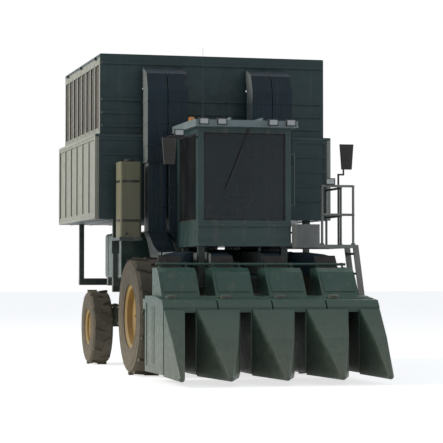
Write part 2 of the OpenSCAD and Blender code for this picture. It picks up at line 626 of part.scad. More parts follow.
// Columns of a duct: X at the row, X under the cab, X beside the cab
duct_runs = [for (s = [-1, 1]) each [
  [s * row_pitch * 1.5, s * (mount_x[1] + 205), s * duct_out_x],
  [s * row_pitch * 0.5, s * row_pitch * 0.5, s * duct_in_x]]];
flange = 20;
flange_t = 12;
mouth_y = unit_rear + 150;
level_end = duct_y - 600;
riser_z = low_z + 500;
duct_top = 3400;
pad = duct_play - fit;
collar_z = [duct_top - 50, duct_top - 20];
module ducts_lower() color("darkgreen")
  for (d = duct_runs) tube([
    [d[0], mouth_y, low_z - 75, 0, hw, hd, flange],
    [d[0], mouth_y + flange_t, low_z - 75, 0, hw, hd, flange],
    [d[0], mouth_y + flange_t + 1, low_z - 75, 0, hw, hd],
    [d[0] * 0.6 + d[1] * 0.4, mouth_y + 140, low_z - 30, 10, hw, hd],
    [d[1], mouth_y + 360, low_z, 0, hw, hd],
    [d[1], level_end - flange_t - 1, low_z, 0, hw, hd],
    [d[1], level_end - flange_t, low_z, 0, hw, hd, flange],
    [d[1], level_end, low_z, 0, hw, hd, flange]], duct_t);
module duct_elbows() color("darkgreen")
  for (d = duct_runs) tube([
    [d[1], level_end + fit, low_z, 0, hw, hd, flange],
    [d[1], level_end + fit + flange_t, low_z, 0, hw, hd, flange],
    [d[1], level_end + fit + flange_t + 1, low_z, 0, hw, hd],
    [d[1], mount_y[1] + 60, low_z, 0, hw, hd],
    [d[1], duct_y - 200, low_z + 50, 32, hw, hd],
    [d[1] * 0.7 + d[2] * 0.3, duct_y - 45, low_z + 190, 64, hw, hd],
    [d[1] * 0.4 + d[2] * 0.6, duct_y, low_z + 360, 90, hw, hd],
    [d[2], duct_y, riser_z - fit - flange_t - 1, 90, hw, hd],
    [d[2], duct_y, riser_z - fit - flange_t, 90, hw, hd, flange],
    [d[2], duct_y, riser_z - fit, 90, hw, hd, flange]], duct_t);
module duct_risers() color("darkgreen")
  for (d = duct_runs) tube([
    [d[2], duct_y, riser_z, 90, hw, hd, flange],
    [d[2], duct_y, riser_z + flange_t, 90, hw, hd, flange],
    [d[2], duct_y, riser_z + flange_t + 1, 90, hw, hd],
    [d[2], duct_y, collar_z[0] - 5, 90, hw, hd],
    [d[2], duct_y, collar_z[0], 90, hw, hd, pad],
    [d[2], duct_y, collar_z[1], 90, hw, hd, pad],
    [d[2], duct_y, collar_z[1] + 5, 90, hw, hd],
    [d[2], duct_y, duct_top, 90, hw, hd]], duct_t);
sleeve = duct_play + duct_t;
sleeve_z = duct_top - 60;
mouth_z = 4710;
module ducts_upper() color("darkgreen")
  for (d = duct_runs) tube([
    [d[2], duct_y, sleeve_z, 90, hw + sleeve, hd + sleeve, 8],
    [d[2], duct_y, sleeve_z + 30, 90, hw + sleeve, hd + sleeve, 8],
    [d[2], duct_y, sleeve_z + 31, 90, hw + sleeve, hd + sleeve],
    [d[2], duct_y, mouth_z - 205, 90, hw + sleeve, hd + sleeve],
    [d[2], duct_y + 50, mouth_z - 70, 45, hw + sleeve, hd + sleeve],
    [d[2], basket_front - 10, mouth_z, 0, hw + sleeve, hd + sleeve]], duct_t);

// Basket: the lower section on its dumping hinge, and the upper one that telescopes out of it
half_w = basket_w / 2;
floor_z = basket_z + basket_floor_t;
up_w = half_w - basket_inset;
up_y = [basket_front + basket_inset, basket_rear - basket_inset];
clevis_x = dump_eye[0];
panels = 6;
panel_pitch = (basket_l - 120) / panels;
panel_deep = 14;
grooves = 5;
groove_pitch = (lower_h - 160) / grooves;
module basket_lower() color("darkgreen") {
  difference() {
    block([-half_w, half_w], [basket_front, basket_rear], [basket_z, split_z]);
    block([-half_w + basket_wall, half_w - basket_wall],
      [basket_front + basket_wall, basket_rear - basket_wall], [floor_z, split_z + 1]);
    // Panels pressed in between the posts of the sides, and between the ribs of the front and rear
    both_sides() for (i = [0 : panels - 1])
      block([half_w - panel_deep, half_w + 1],
        [basket_front + 90 + i * panel_pitch, basket_front + 30 + (i + 1) * panel_pitch],
        [basket_z + 110, split_z - 90]);
    for (e = [-1, 1], i = [0 : grooves - 1])
      block([-half_w + 100, half_w - 100],
        e < 0 ? [basket_front - 1, basket_front + panel_deep] : [basket_rear - panel_deep, basket_rear + 1],
        [basket_z + 110 + i * groove_pitch, basket_z + 60 + (i + 1) * groove_pitch]);
  }
  for (y = hinge_y)
    difference() {
      union() {
        bar_y(dump_x, [y - 30, y + 30], dump_z, 60);
        block([dump_x - 60, dump_x + 60], [y - 30, y + 30], [dump_z, basket_z + 1]);
      }
      bar_y(dump_x, [y - 40, y + 40], dump_z, pin_r + run);
    }
  for (y = dump_y, s = [-1, 1])
    front_cut([y + s * 66 - ear_t / 2, y + s * 66 + ear_t / 2],
      [[clevis_x - 90, basket_z + 1], [clevis_x - 50, dump_z - 50], [clevis_x + 50, dump_z - 50],
       [clevis_x + 90, basket_z + 1]]);
}
windows = 8;
window_pitch = (up_y[1] - up_y[0] - 100) / windows;
window_z = [split_z + 110, rim_z - 120];
raise_y = [up_y[0] + basket_wall + 60, up_y[1] - basket_wall - 60];
rib_d = 28;
rib_h = 45;
rib_z = [split_z + 120, split_z + 330, split_z + 540, rim_z - 110];
lid_hinge = [-up_w - 25, rim_z];
lid_hinge_r = 20;
lid_knuckles = [for (t = [0.1, 0.5, 0.9]) up_y[0] + t * (up_y[1] - up_y[0]) - 60];
module basket_upper() color("darkgreen") {
  difference() {
    union() {
      difference() {
        block([-up_w, up_w], up_y, [upper_z, rim_z]);
        block([-up_w + basket_wall, up_w - basket_wall], [up_y[0] + basket_wall, up_y[1] - basket_wall],
          [upper_z - 1, rim_z + 1]);
      }
      for (z = rib_z) block([-up_w + 30, up_w - 30], [up_y[0] - rib_d, up_y[0] + 1], [z, z + rib_h]);
      for (y = raise_y) block([-80, 80], [y - 62, y + 62], [rim_z - 100, rim_z - 70]);
    }
    for (i = [0 : windows - 1]) {
      y = up_y[0] + 50 + window_pitch * (i + 0.5);
      block([-up_w - 1, up_w + 1], [y - window_pitch / 2 + 35, y + window_pitch / 2 - 35], window_z);
    }
    for (d = duct_runs)
      block([d[2] - hw, d[2] + hw], [up_y[0] - rib_d - 1, up_y[0] + basket_wall + 1],
        [mouth_z - hd, mouth_z + hd]);
    for (x = [-1500 : 500 : 1500])
      block([x - 200, x + 200], [up_y[1] - basket_wall - 1, up_y[1] + 1], window_z);
  }
  for (y = lid_knuckles) {
    bar_y(lid_hinge[0], [y, y + 55], lid_hinge[1], lid_hinge_r);
    bar_y(lid_hinge[0], [y, y + 120], lid_hinge[1], 8);
    block([lid_hinge[0], -up_w + 1], [y, y + 55], [rim_z - lid_hinge_r, rim_z - fit]);
  }
}
lid_slots = 12;
lid_rows = 4;
slot_w = (2 * up_w - 100) / lid_slots;
slot_l = (up_y[1] - up_y[0] - 100) / lid_rows;
module basket_lid() color("darkgreen")
  difference() {
    union() {
      block([-up_w, up_w], up_y, [rim_z + fit, rim_z + lid_h]);
      for (y = lid_knuckles) {
        bar_y(lid_hinge[0], [y + 55 + fit, y + 120], lid_hinge[1], lid_hinge_r);
        block([lid_hinge[0], -up_w + 1], [y + 55 + fit, y + 120], [rim_z + fit, rim_z + lid_hinge_r]);
      }
    }
    for (y = lid_knuckles) bar_y(lid_hinge[0], [y, y + 130], lid_hinge[1], 8 + run);
    for (i = [0 : lid_slots - 1], j = [0 : lid_rows - 1])
      block([-up_w + 60 + i * slot_w, -up_w + 40 + (i + 1) * slot_w],
        [up_y[0] + 60 + j * slot_l, up_y[0] + 40 + (j + 1) * slot_l], [rim_z, rim_z + lid_h + 1]);
  }
raise_barrel_top = split_z - 30;
module raise_barrels() color("dimgray")
  for (y = raise_y)
    difference() {
      bar_z(0, y, [floor_z + fit, raise_barrel_top], 45);
      bar_z(0, y, [floor_z + 25, raise_barrel_top + 1], 28 + run);
    }
module raise_rods() color("silver")
  for (y = raise_y) bar_z(0, y, [floor_z + 40 + raise_travel, rim_z - 100 - fit], 28);

// Dump cylinders: barrels on the chassis pins, rods up to the clevises under the basket floor
dump_run = norm(dump_eye - dump_foot);
dump_dir = (dump_eye - dump_foot) / dump_run;
dump_barrel_l = dump_run - 75;
module dump_barrels() color("dimgray")
  for (y = dump_y)
    difference() {
      union() {
        bar_y(dump_foot[0], [y - 54, y + 54], dump_foot[1], 55);
        strut_front(y, dump_foot, dump_foot + dump_dir * dump_barrel_l, 50);
      }
      bar_y(dump_foot[0], [y - 60, y + 60], dump_foot[1], pin_r + run);
      strut_front(y, dump_foot + dump_dir * 80, dump_foot + dump_dir * (dump_barrel_l + 25), 32 + run);
    }
module dump_rods() color("silver")
  for (y = dump_y) {
    strut_front(y, dump_foot + dump_dir * 95, dump_foot + dump_dir * (dump_run - 20), 32);
    bar_y(dump_eye[0], [y - 50, y + 50], dump_eye[1], 45);
  }

// Header: the toolbar with its arms and top rail, four row units, five dividers and the picking drums
bar_y_span = [unit_rear + fit, unit_rear + 150];
bar_z_span = [1050, 1200];
row_x = [for (i = [0 : rows - 1]) (i - (rows - 1) / 2) * row_pitch];
unit_half = (row_pitch - unit_gap) / 2;
header_half = row_x[rows - 1] + unit_half;
lug_x = [lift_cyl_x - 52, lift_cyl_x + 32];
top_rail_y = unit_rear - 90;
module header_bar() color("darkgreen") {
  difference() {
    union() {
      block([-header_half, header_half], bar_y_span, bar_z_span);
      both_sides() {
        block([lift_arm_x - 27, lift_arm_x + 27], [bar_y_span[1] - 1, lift_y], [lift_z - 60, lift_z + 50]);
        bar_x([lift_arm_x - 27, lift_arm_x + 27], lift_y, lift_z, 60);
        for (x = lug_x)
          side_cut([x, x + ear_t], [[bar_y_span[1] - 1, bar_z_span[0]], [bar_y_span[1] - 1, bar_z_span[1]],
            [lift_eye[0] + 50, lift_eye[1] + 60], [lift_eye[0] + 50, lift_eye[1] - 50],
            [lift_eye[0] - 50, lift_eye[1] - 50]]);
      }
    }
    both_sides() bar_x([lift_arm_x - 40, lift_arm_x + 40], lift_y, lift_z, pin_r + run);
  }
  bar_x([row_x[0] - 250, row_x[rows - 1] + 250], top_rail_y, hood_top + 55, 20);
  for (x = row_x, s = [-1, 1])
    block([x + s * 200 - 12, x + s * 200 + 12], [top_rail_y - 12, top_rail_y + 12],
      [hood_top + fit, hood_top + 45]);
}
drum_r = 150;
drum_root = 118;
drum_y = unit_front + 330;
drum_off = 205;
drum_z = [unit_clear + 75, throat_top - 35];
drum_rings = 8;
ring_pitch = (drum_z[1] - drum_z[0] - 34) / drum_rings;
ring_t = 22;
spindles = 14;
shaft_r = 25;
hood_cut = 110;
// Side outline of a row unit, from its lower front corner up over the cabinet and the hood
unit_outline = [[unit_front, unit_clear], [unit_front, cabinet_top - 150], [unit_front + 80, cabinet_top - 60],
  [unit_front + 600, cabinet_top], [unit_front + 850, hood_top - 60], [unit_front + 960, hood_top],
  [unit_rear, hood_top], [unit_rear, unit_clear]];
// The panel on the hood's slope: its lower and upper edge as a share of the slope, and its thickness
slope_a = unit_outline[3];
slope_b = unit_outline[4];
slope_n = [-(slope_b[1] - slope_a[1]), slope_b[0] - slope_a[0]] / norm(slope_b - slope_a);
module hood_panel(x) {
  low = slope_a + (slope_b - slope_a) * 0.16;
  high = slope_a + (slope_b - slope_a) * 0.92;
  side_cut([x - unit_half + hood_cut + 45, x + unit_half - hood_cut - 45],
    [low - slope_n * 5, low + slope_n * 9, high + slope_n * 9, high - slope_n * 5]);
}
module row_unit(x)
  difference() {
    union() {
      side_cut([x - unit_half, x + unit_half], unit_outline);
      hood_panel(x);
      // Ribs across the cabinet's lid
      for (t = [0.25, 0.6])
        side_cut([x - unit_half + 40, x + unit_half - 40],
          [for (p = [[-14, -4], [-14, 9], [14, 9], [14, -4]])
            [unit_front + 80 + 520 * t + p[0], cabinet_top - 60 + 60 * t + p[1]]]);
    }
    block([x - throat_w / 2, x + throat_w / 2], [unit_front - 1, unit_rear + 1], [0, throat_top]);
    bar_z(x - drum_off, drum_y, [drum_z[0] - 15, drum_z[1] + 15], drum_r + 8);
    bar_z(x - drum_off, drum_y, [drum_z[0] - 50, drum_z[1] + 60], shaft_r + run);
    translate([x, 0, 0]) both_sides() {
      block([unit_half - hood_cut, unit_half + 1], [unit_front + 500, unit_rear + 1],
        [cabinet_top, hood_top + 1]);
      // Service doors pressed into the flanks
      block([unit_half - 8, unit_half + 1], [unit_front + 560, unit_rear - 80],
        [unit_clear + 90, cabinet_top - 110]);
    }
  }
module row_units() color("darkgreen") for (x = row_x) row_unit(x);
module spindle_ring(z)
  translate([0, 0, z]) linear_extrude(ring_t)
    polygon([for (k = [0 : 2 * spindles - 1]) let (r = k % 2 == 0 ? drum_r : drum_root, a = k * 180 / spindles)
      [r * cos(a), r * sin(a)]]);
module drum(i) color("silver")
  translate([row_x[i - 1] - drum_off, drum_y, 0]) {
    bar_z(0, 0, [drum_z[0] - 48, drum_z[1] + 50], shaft_r);
    bar_z(0, 0, drum_z, 90);
    for (k = [0 : drum_rings - 1]) spindle_ring(drum_z[0] + 30 + k * ring_pitch);
  }
module drum_1() drum(1);
module drum_2() drum(2);
module drum_3() drum(3);
module drum_4() drum(4);
// Columns of a divider: X of its middle, half width at the units, X of its tip
divider_half = (row_pitch - throat_w) / 2 - 15;
end_x = header_half - (unit_half - throat_w / 2) / 2;
end_half = (unit_half - throat_w / 2) / 2 - 8;
dividers_at = [[-end_x, end_half, -end_x - 60], [-row_pitch, divider_half, -row_pitch], [0, divider_half, 0],
  [row_pitch, divider_half, row_pitch], [end_x, end_half, end_x + 60]];
mid_y = unit_front - nose_l * 0.525;
module divider(x, half, tip)
  hull() {
    block([x - half, x + half], [unit_front - 30, unit_front - fit], [unit_clear - 20, cabinet_top - 190]);
    block([(x + tip) / 2 - half * 0.62, (x + tip) / 2 + half * 0.62], [mid_y, mid_y + 20], [110, 660]);
    translate([tip, -front_reach + 45, 125]) sphere(r = 45, $fn = 20);
  }
module dividers() color("darkgreen") for (d = dividers_at) divider(d[0], d[1], d[2]);

// Header lift cylinders: barrels on the chassis pins, rods up to the header's lugs
lift_run = norm(lift_eye - lift_foot);
lift_dir = (lift_eye - lift_foot) / lift_run;
lift_barrel_l = lift_run - 240;
module lift_barrels() color("dimgray")
  both_sides() difference() {
    union() {
      bar_x([lift_cyl_x - 42, lift_cyl_x + 42], lift_foot[0], lift_foot[1], 50);
      strut_side(lift_cyl_x, lift_foot, lift_foot + lift_dir * lift_barrel_l, 40);
    }
    bar_x([lift_cyl_x - 50, lift_cyl_x + 50], lift_foot[0], lift_foot[1], pin_r + run);
    strut_side(lift_cyl_x, lift_foot + lift_dir * 75, lift_foot + lift_dir * (lift_barrel_l + 40), 25 + run);
  }
module lift_rods() color("silver")
  both_sides() {
    strut_side(lift_cyl_x, lift_foot + lift_dir * 330, lift_foot + lift_dir * (lift_run - 20), 25);
    bar_x([lift_cyl_x - 26, lift_cyl_x + 26], lift_eye[0], lift_eye[1], 40);
  }

frame();
front_axle();
rear_axle();
knuckle_left();
knuckle_right();
drive_rim_left();
drive_rim_right();
drive_tyre_left();
drive_tyre_right();
steer_rim_left();
steer_rim_right();
steer_tyre_left();
steer_tyre_right();
engine_block();
engine_panels();
cooling_screen();
exhaust();
fuel_tank();
oil_tank();
oil_carriers();
water_tank();
tank_shelf();
fan_housing();
cab_body();
cab_glass();
cab_roof();
door_frame();
door_glass();
seat_base();
seat_cushion();
cab_controls();
platform();
handrails();
ladder();
mirrors();
lamps();
beacon();
ducts_lower();
duct_elbows();
duct_risers();
ducts_upper();
basket_lower();
basket_upper();
basket_lid();
raise_barrels();
raise_rods();
dump_barrels();
dump_rods();
header_bar();
row_units();
dividers();
lift_barrels();
lift_rods();
drum_1();
drum_2();
drum_3();
drum_4();
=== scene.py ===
import math

import bmesh
import bpy
from mathutils import Matrix, Vector


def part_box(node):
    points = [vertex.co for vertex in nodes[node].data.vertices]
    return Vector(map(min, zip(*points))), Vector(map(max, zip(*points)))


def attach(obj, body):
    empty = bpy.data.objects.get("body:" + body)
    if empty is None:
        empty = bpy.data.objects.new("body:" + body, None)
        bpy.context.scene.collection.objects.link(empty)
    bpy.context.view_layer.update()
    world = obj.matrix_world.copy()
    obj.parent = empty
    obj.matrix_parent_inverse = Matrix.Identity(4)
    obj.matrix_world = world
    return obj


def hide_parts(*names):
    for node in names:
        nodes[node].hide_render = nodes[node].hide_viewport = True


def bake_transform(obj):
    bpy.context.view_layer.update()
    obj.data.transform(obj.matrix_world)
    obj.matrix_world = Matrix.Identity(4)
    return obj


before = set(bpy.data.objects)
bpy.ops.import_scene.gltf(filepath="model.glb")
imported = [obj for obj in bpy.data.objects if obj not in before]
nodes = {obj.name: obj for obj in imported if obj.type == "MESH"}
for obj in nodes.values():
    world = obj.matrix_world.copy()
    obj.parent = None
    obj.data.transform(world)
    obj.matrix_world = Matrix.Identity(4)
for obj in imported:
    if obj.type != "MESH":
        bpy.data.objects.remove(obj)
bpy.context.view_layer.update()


# Camera and studio: a long lens about thirty metres off, at eye height, sees the machine from its front and a
# little to its right side. A large soft lamp stands on its right and a weaker, cooler one on its left.
# The floor and the sky behind are plain and pale.
view_side = math.radians(-14)
view_distance = 29.4
eye_height = 1.53
long_lens = 148
aim = Vector((0.1, 0.0, 2.42))
camera_data = bpy.data.cameras.new("camera")
camera_data.lens = long_lens
camera = bpy.data.objects.new("camera", camera_data)
camera.location = (view_distance * math.sin(view_side), -view_distance * math.cos(view_side), eye_height)
camera.rotation_euler = (aim - camera.location).to_track_quat("-Z", "Y").to_euler()
bpy.context.scene.collection.objects.link(camera)
bpy.context.scene.camera = camera


def node(tree, kind, sockets=None, **settings):
    """Adds a node, sets its settings, and fills or links its sockets by name or number."""
    made = tree.nodes.new(kind)
    for name, value in settings.items():
        setattr(made, name, value)
    for name, value in (sockets or {}).items():
        if isinstance(value, bpy.types.NodeSocket):
            tree.links.new(value, made.inputs[name])
        else:
            made.inputs[name].default_value = value
    return made


def seen_directly(tree):
    """1 for camera, glossy and transmission rays, which see the plain background colour."""
    path = node(tree, "ShaderNodeLightPath")
    either = node(tree, "ShaderNodeMath", {0: path.outputs["Is Camera Ray"], 1: path.outputs["Is Glossy Ray"]},
                  operation="MAXIMUM")
    return node(tree, "ShaderNodeMath", {0: either.outputs[0], 1: path.outputs["Is Transmission Ray"]},
                operation="MAXIMUM").outputs[0]


world = bpy.data.worlds.new("studio")
bpy.context.scene.world = world
world.use_nodes = True
sky = world.node_tree
sky.nodes.clear()
white = (1.0, 1.0, 1.0, 1)
soft_light = node(sky, "ShaderNodeBackground", {"Color": (0.82, 0.9, 1.0, 1), "Strength": 0.32})
plain_back = node(sky, "ShaderNodeBackground", {"Color": white, "Strength": 1.0})
both = node(sky, "ShaderNodeMixShader", {0: seen_directly(sky), 1: soft_light.outputs[0], 2: plain_back.outputs[0]})
node(sky, "ShaderNodeOutputWorld", {"Surface": both.outputs[0]})

# Columns: name, place, width, watts, colour
studio_lamps = [("key", (-26, 4, 14), 7, 4000, (1.0, 0.96, 0.88)),
                ("fill", (24, -9, 12), 9, 1300, (0.86, 0.93, 1.0))]
lamps_face = Vector((0, 0, 2.2))
for name, place, width, watts, tint in studio_lamps:
    lamp_data = bpy.data.lights.new(name, "AREA")
    lamp_data.size = width
    lamp_data.energy = watts
    lamp_data.color = tint
    lamp = bpy.data.objects.new(name, lamp_data)
    lamp.location = place
    lamp.rotation_euler = (lamps_face - lamp.location).to_track_quat("-Z", "Y").to_euler()
    bpy.context.scene.collection.objects.link(lamp)

floor_half = 150
floor_glow = 0.7
floor_mesh = bpy.data.meshes.new("floor")
floor_mesh.from_pydata([(a * floor_half, b * floor_half, 0) for a, b in ((-1, -1), (1, -1), (1, 1), (-1, 1))], [],
                       [(0, 1, 2, 3)])
floor = bpy.data.objects.new("floor", floor_mesh)
bpy.context.scene.collection.objects.link(floor)
floor_finish = bpy.data.materials.new("floor")
floor_finish.use_nodes = True
ground = floor_finish.node_tree
ground.nodes.clear()
matt = node(ground, "ShaderNodeBsdfDiffuse", {"Color": (0.8, 0.8, 0.8, 1)})
direct = node(ground, "ShaderNodeMath", {0: seen_directly(ground), 1: floor_glow}, operation="MULTIPLY")
glow = node(ground, "ShaderNodeEmission", {"Color": white, "Strength": direct.outputs[0]})
lit = node(ground, "ShaderNodeAddShader", {0: matt.outputs[0], 1: glow.outputs[0]})
node(ground, "ShaderNodeOutputMaterial", {"Surface": lit.outputs[0]})
floor_mesh.materials.append(floor_finish)

bpy.context.scene.view_settings.view_transform = "Standard"


# Chassis: rails, cross members, stands and lugs, welded from steel box section.
# It is brushed with dark green-black paint, and field dust lies on it, thickest low down.
def ramp(tree, value, low, high, to_low=0.0, to_high=1.0):
    """A value moved from one range to another, smoothly and with its ends held."""
    return node(tree, "ShaderNodeMapRange", {"Value": value, "From Min": low, "From Max": high, "To Min": to_low,
                                             "To Max": to_high}, interpolation_type="SMOOTHSTEP").outputs[0]


def mottle(tree, scale, detail=5.0, stretch=(1, 1, 1)):
    """Noise in the piece's own coordinates, drawn out along the axes whose stretch is small."""
    place = node(tree, "ShaderNodeTexCoord").outputs["Object"]
    drawn = node(tree, "ShaderNodeMapping", {"Vector": place, "Scale": stretch}).outputs[0]
    return node(tree, "ShaderNodeTexNoise", {"Vector": drawn, "Scale": scale, "Detail": detail,
                                             "Roughness": 0.6}).outputs["Fac"]


def mixed(tree, factor, a, b):
    return node(tree, "ShaderNodeMix", {0: factor, 6: a, 7: b}, data_type="RGBA").outputs[2]


def times(tree, a, b):
    return node(tree, "ShaderNodeMath", {0: a, 1: b}, operation="MULTIPLY").outputs[0]


dust_colour = (0.36, 0.31, 0.23, 1)


def weathered(name, colour, faded=None, dust=0.5, rough=(0.32, 0.62), metallic=0.0, low_dust=1.9, grain=0.02,
              streaks=0.5, coat=0.0, specular=0.35, sunlit_flanks=None):
    """A finish with cloudy fading, rain streaks, dust that thickens towards the ground, and a fine grain.

    The clouds of fading are about 0.7 m across, the patches of dust 0.1 m and the grain 12 mm. Dust lies up to
    the height low_dust. Faces that look sideways can have a colour of their own: painted sunlight, which stands
    in for the sun falling on the sides.
    """
    made = bpy.data.materials.new(name)
    made.use_nodes = True
    tree = made.node_tree
    tree.nodes.clear()
    cloud = mottle(tree, 1.4)
    patch = mottle(tree, 10.0, 7.0)
    speck = mottle(tree, 85.0, 3.0)
    streak = mottle(tree, 5.0, 4.0, (1.6, 1.6, 0.12))
    base = mixed(tree, ramp(tree, cloud, 0.35, 0.68), tuple(colour) + (1,), tuple(faded or colour) + (1,))
    # Painted sunlight: faces whose normal looks along X take the given side colour, as if the sun fell on the sides.
    if sunlit_flanks:
        facing = node(tree, "ShaderNodeTexCoord").outputs["Normal"]
        sideways = node(tree, "ShaderNodeSeparateXYZ", {0: facing}).outputs[0]
        turned = node(tree, "ShaderNodeMath", {0: sideways}, operation="ABSOLUTE").outputs[0]
        base = mixed(tree, ramp(tree, turned, 0.8, 0.9), base, tuple(sunlit_flanks) + (1,))
    place = node(tree, "ShaderNodeTexCoord").outputs["Object"]
    height = node(tree, "ShaderNodeSeparateXYZ", {0: place}).outputs[2]
    low = times(tree, ramp(tree, height, 0.0, low_dust, 1.0, 0.12), ramp(tree, patch, 0.15, 0.85, 0.45, 1.0))
    rain = times(tree, ramp(tree, streak, 0.48, 0.75), streaks)
    lying = node(tree, "ShaderNodeMath", {0: low, 1: rain}, operation="MAXIMUM").outputs[0]
    cover = times(tree, lying, dust)
    surface = mixed(tree, cover, base, dust_colour)
    bump = node(tree, "ShaderNodeBump", {"Strength": 0.35, "Distance": grain * 0.1, "Height": speck})
    shader = node(tree, "ShaderNodeBsdfPrincipled", {
        "Base Color": surface, "Roughness": ramp(tree, patch, 0.2, 0.8, *rough), "Metallic": metallic,
        "Coat Weight": coat, "Specular IOR Level": specular, "Normal": bump.outputs[0]})
    node(tree, "ShaderNodeOutputMaterial", {"Surface": shader.outputs[0]})
    return made


def dress(finish, *names):
    """Gives carried-over pieces of the frame their finish."""
    for name in names:
        slots = nodes[name].data.materials
        slots.clear()
        slots.append(finish)


chassis_paint = weathered("chassis_paint", (0.022, 0.045, 0.042), (0.04, 0.065, 0.06), dust=0.75)
dress(chassis_paint, "frame", "front_axle", "rear_axle", "knuckle_left", "knuckle_right", "oil_carriers",
      "tank_shelf")


sharp_from = math.radians(34)


class Piece:
    """One made piece. Its parts are gathered in a mesh, which is then named, finished and hung on its body."""

    def __init__(self):
        self.mesh = bmesh.new()

    def box(self, low, high, eased=0.0, turn=None):
        """A block between two corners, turned about its middle, with its edges eased."""
        size = Vector([abs(b - a) for a, b in zip(low, high)])
        made = bmesh.ops.create_cube(self.mesh, size=1.0)["verts"]
        middle = Matrix.Translation((Vector(low) + Vector(high)) / 2)
        place = middle @ (turn or Matrix()) @ Matrix.Diagonal((*size, 1))
        bmesh.ops.transform(self.mesh, matrix=place, verts=made)
        if eased:
            edges = list({edge for vert in made for edge in vert.link_edges})
            bmesh.ops.bevel(self.mesh, geom=edges, offset=eased, segments=2, profile=0.5, affect="EDGES")
        return self

    def rod(self, start, end, radius, sides=12, end_radius=None):
        """A round bar from point to point; with few sides it is a nut or a flat-sided bar."""
        start, end = Vector(start), Vector(end)
        made = bmesh.ops.create_cone(self.mesh, cap_ends=True, segments=sides, radius1=radius,
                                     radius2=radius if end_radius is None else end_radius,
                                     depth=(end - start).length)["verts"]
        place = Matrix.Translation((start + end) / 2) @ (end - start).to_track_quat("Z", "Y").to_matrix().to_4x4()
        bmesh.ops.transform(self.mesh, matrix=place, verts=made)
        return self

    def pipe(self, points, radius, sides=10):
        """A bent pipe through its corner points, with a ball in each bend."""
        for start, end in zip(points, points[1:]):
            self.rod(start, end, radius, sides)
        for bend in points[1:-1]:
            self.ball(bend, radius)
        return self

    def ball(self, at, radius):
        bmesh.ops.create_icosphere(self.mesh, subdivisions=2, radius=radius, matrix=Matrix.Translation(at))
        return self

    def bolt(self, at, out, across=0.012, tall=0.010):
        """A washer and a six-sided head on a face that looks along out."""
        at, out = Vector(at), Vector(out).normalized()
        washer = 0.003
        self.rod(at - out * 0.002, at + out * washer, across * 1.45, 14)
        return self.rod(at + out * washer, at + out * (washer + tall), across, 6)

    def turned(self, at, out, profile, sides=40):
        """A turned shape about the line through at along out. Its profile lists radius and height."""
        aim_at = Vector(out).to_track_quat("Z", "Y").to_matrix()
        rings = []
        for radius, height in profile:
            count = sides if radius > 1e-6 else 1
            angles = [2 * math.pi * k / sides for k in range(count)]
            rings.append([self.mesh.verts.new(Vector(at) + aim_at @ Vector(
                (radius * math.cos(angle), radius * math.sin(angle), height))) for angle in angles])
        for low, high in zip(rings, rings[1:]):
            for k in range(sides):
                around = [low[k % len(low)], low[(k + 1) % len(low)], high[(k + 1) % len(high)], high[k % len(high)]]
                corners = list(dict.fromkeys(around))
                if len(corners) > 2:
                    self.mesh.faces.new(corners)
        return self

    def done(self, name, finish, body, slot):
        """Names the piece, gives it its finish, and hangs it on its body."""
        bmesh.ops.recalc_face_normals(self.mesh, faces=self.mesh.faces)
        data = bpy.data.meshes.new(name)
        self.mesh.to_mesh(data)
        self.mesh.free()
        data.materials.append(finish)
        data.polygons.foreach_set("use_smooth", [True] * len(data.polygons))
        data.set_sharp_from_angle(angle=sharp_from)
        piece = bpy.data.objects.new(name, data)
        bpy.context.scene.collection.objects.link(piece)
        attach(piece, body)
        return piece


# Bolted flanges: steel plates on the ends of the outriggers, four bolts each, where they meet the rails' outer
# faces; and the bolts that hold the rails' saddles to the front axle. Columns: Y, half length
rail_face, plate = 0.5103, 0.010
flange_low, flange_high, bolt_heights, bolt_inset = 1.372, 1.50, (1.393, 1.478), 0.013
drive_y, saddle_x, saddle_z = -0.84, 0.45, 1.30
right_flanges = [(-1.70, 0.085), (-0.65, 0.085), (0.25, 0.085), (0.70, 0.085), (1.70, 0.085), (3.40, 0.085)]
left_flanges = [(-1.70, 0.085), (-0.65, 0.085), (0.25, 0.085), (0.75, 0.16), (1.11, 0.08), (1.71, 0.08), (2.10, 0.16),
                (3.40, 0.085)]
bolts = Piece()
for side, flanges in ((-1, right_flanges), (1, left_flanges)):
    for y, half in flanges:
        outside = side * (rail_face + plate)
        bolts.box((side * rail_face, y - half, flange_low), (outside, y + half, flange_high), 0.002)
        for dy in (bolt_inset - half, half - bolt_inset):
            for z in bolt_heights:
                bolts.bolt((outside, y + dy, z), (side, 0, 0), 0.009)
    for way in (-1, 1):
        for dx in (-0.03, 0.03):
            bolts.bolt((side * (saddle_x + dx), drive_y + way * 0.14, saddle_z), (0, way, 0), 0.011)
bolts.done("rail_bolts", chassis_paint, "chassis", "chassis_paint")

# Oil pipes: drawn steel, in pairs along both rails from the header lift to the engine bay, with a six-sided
# union on each end. Clamps of two half blocks hold them to the rails, with one bolt each.
pipe_x, pipe_heights, pipe_front, pipe_rear = 0.522, (1.285, 1.312), -1.03, 3.72
clamps, first_clamp, clamp_pitch = 9, -0.85, 0.56
clamp_low, clamp_high, clamp_face = 1.268, 1.329, 0.534
pipes = Piece()
for side in (-1, 1):
    for z in pipe_heights:
        pipes.rod((side * pipe_x, pipe_front, z), (side * pipe_x, pipe_rear, z), 0.008, 10)
        for start, end in ((pipe_rear - 0.02, pipe_rear + 0.03), (pipe_front - 0.03, pipe_front + 0.02)):
            pipes.rod((side * pipe_x, start, z), (side * pipe_x, end, z), 0.013, 6)
    for k in range(clamps):
        y = first_clamp + clamp_pitch * k
        pipes.box((side * 0.510, y - 0.018, clamp_low), (side * clamp_face, y + 0.018, clamp_high), 0.003)
        pipes.bolt((side * clamp_face, y, (clamp_low + clamp_high) / 2), (side, 0, 0), 0.007, 0.006)
pipes.done("oil_pipes", chassis_paint, "chassis", "chassis_paint")

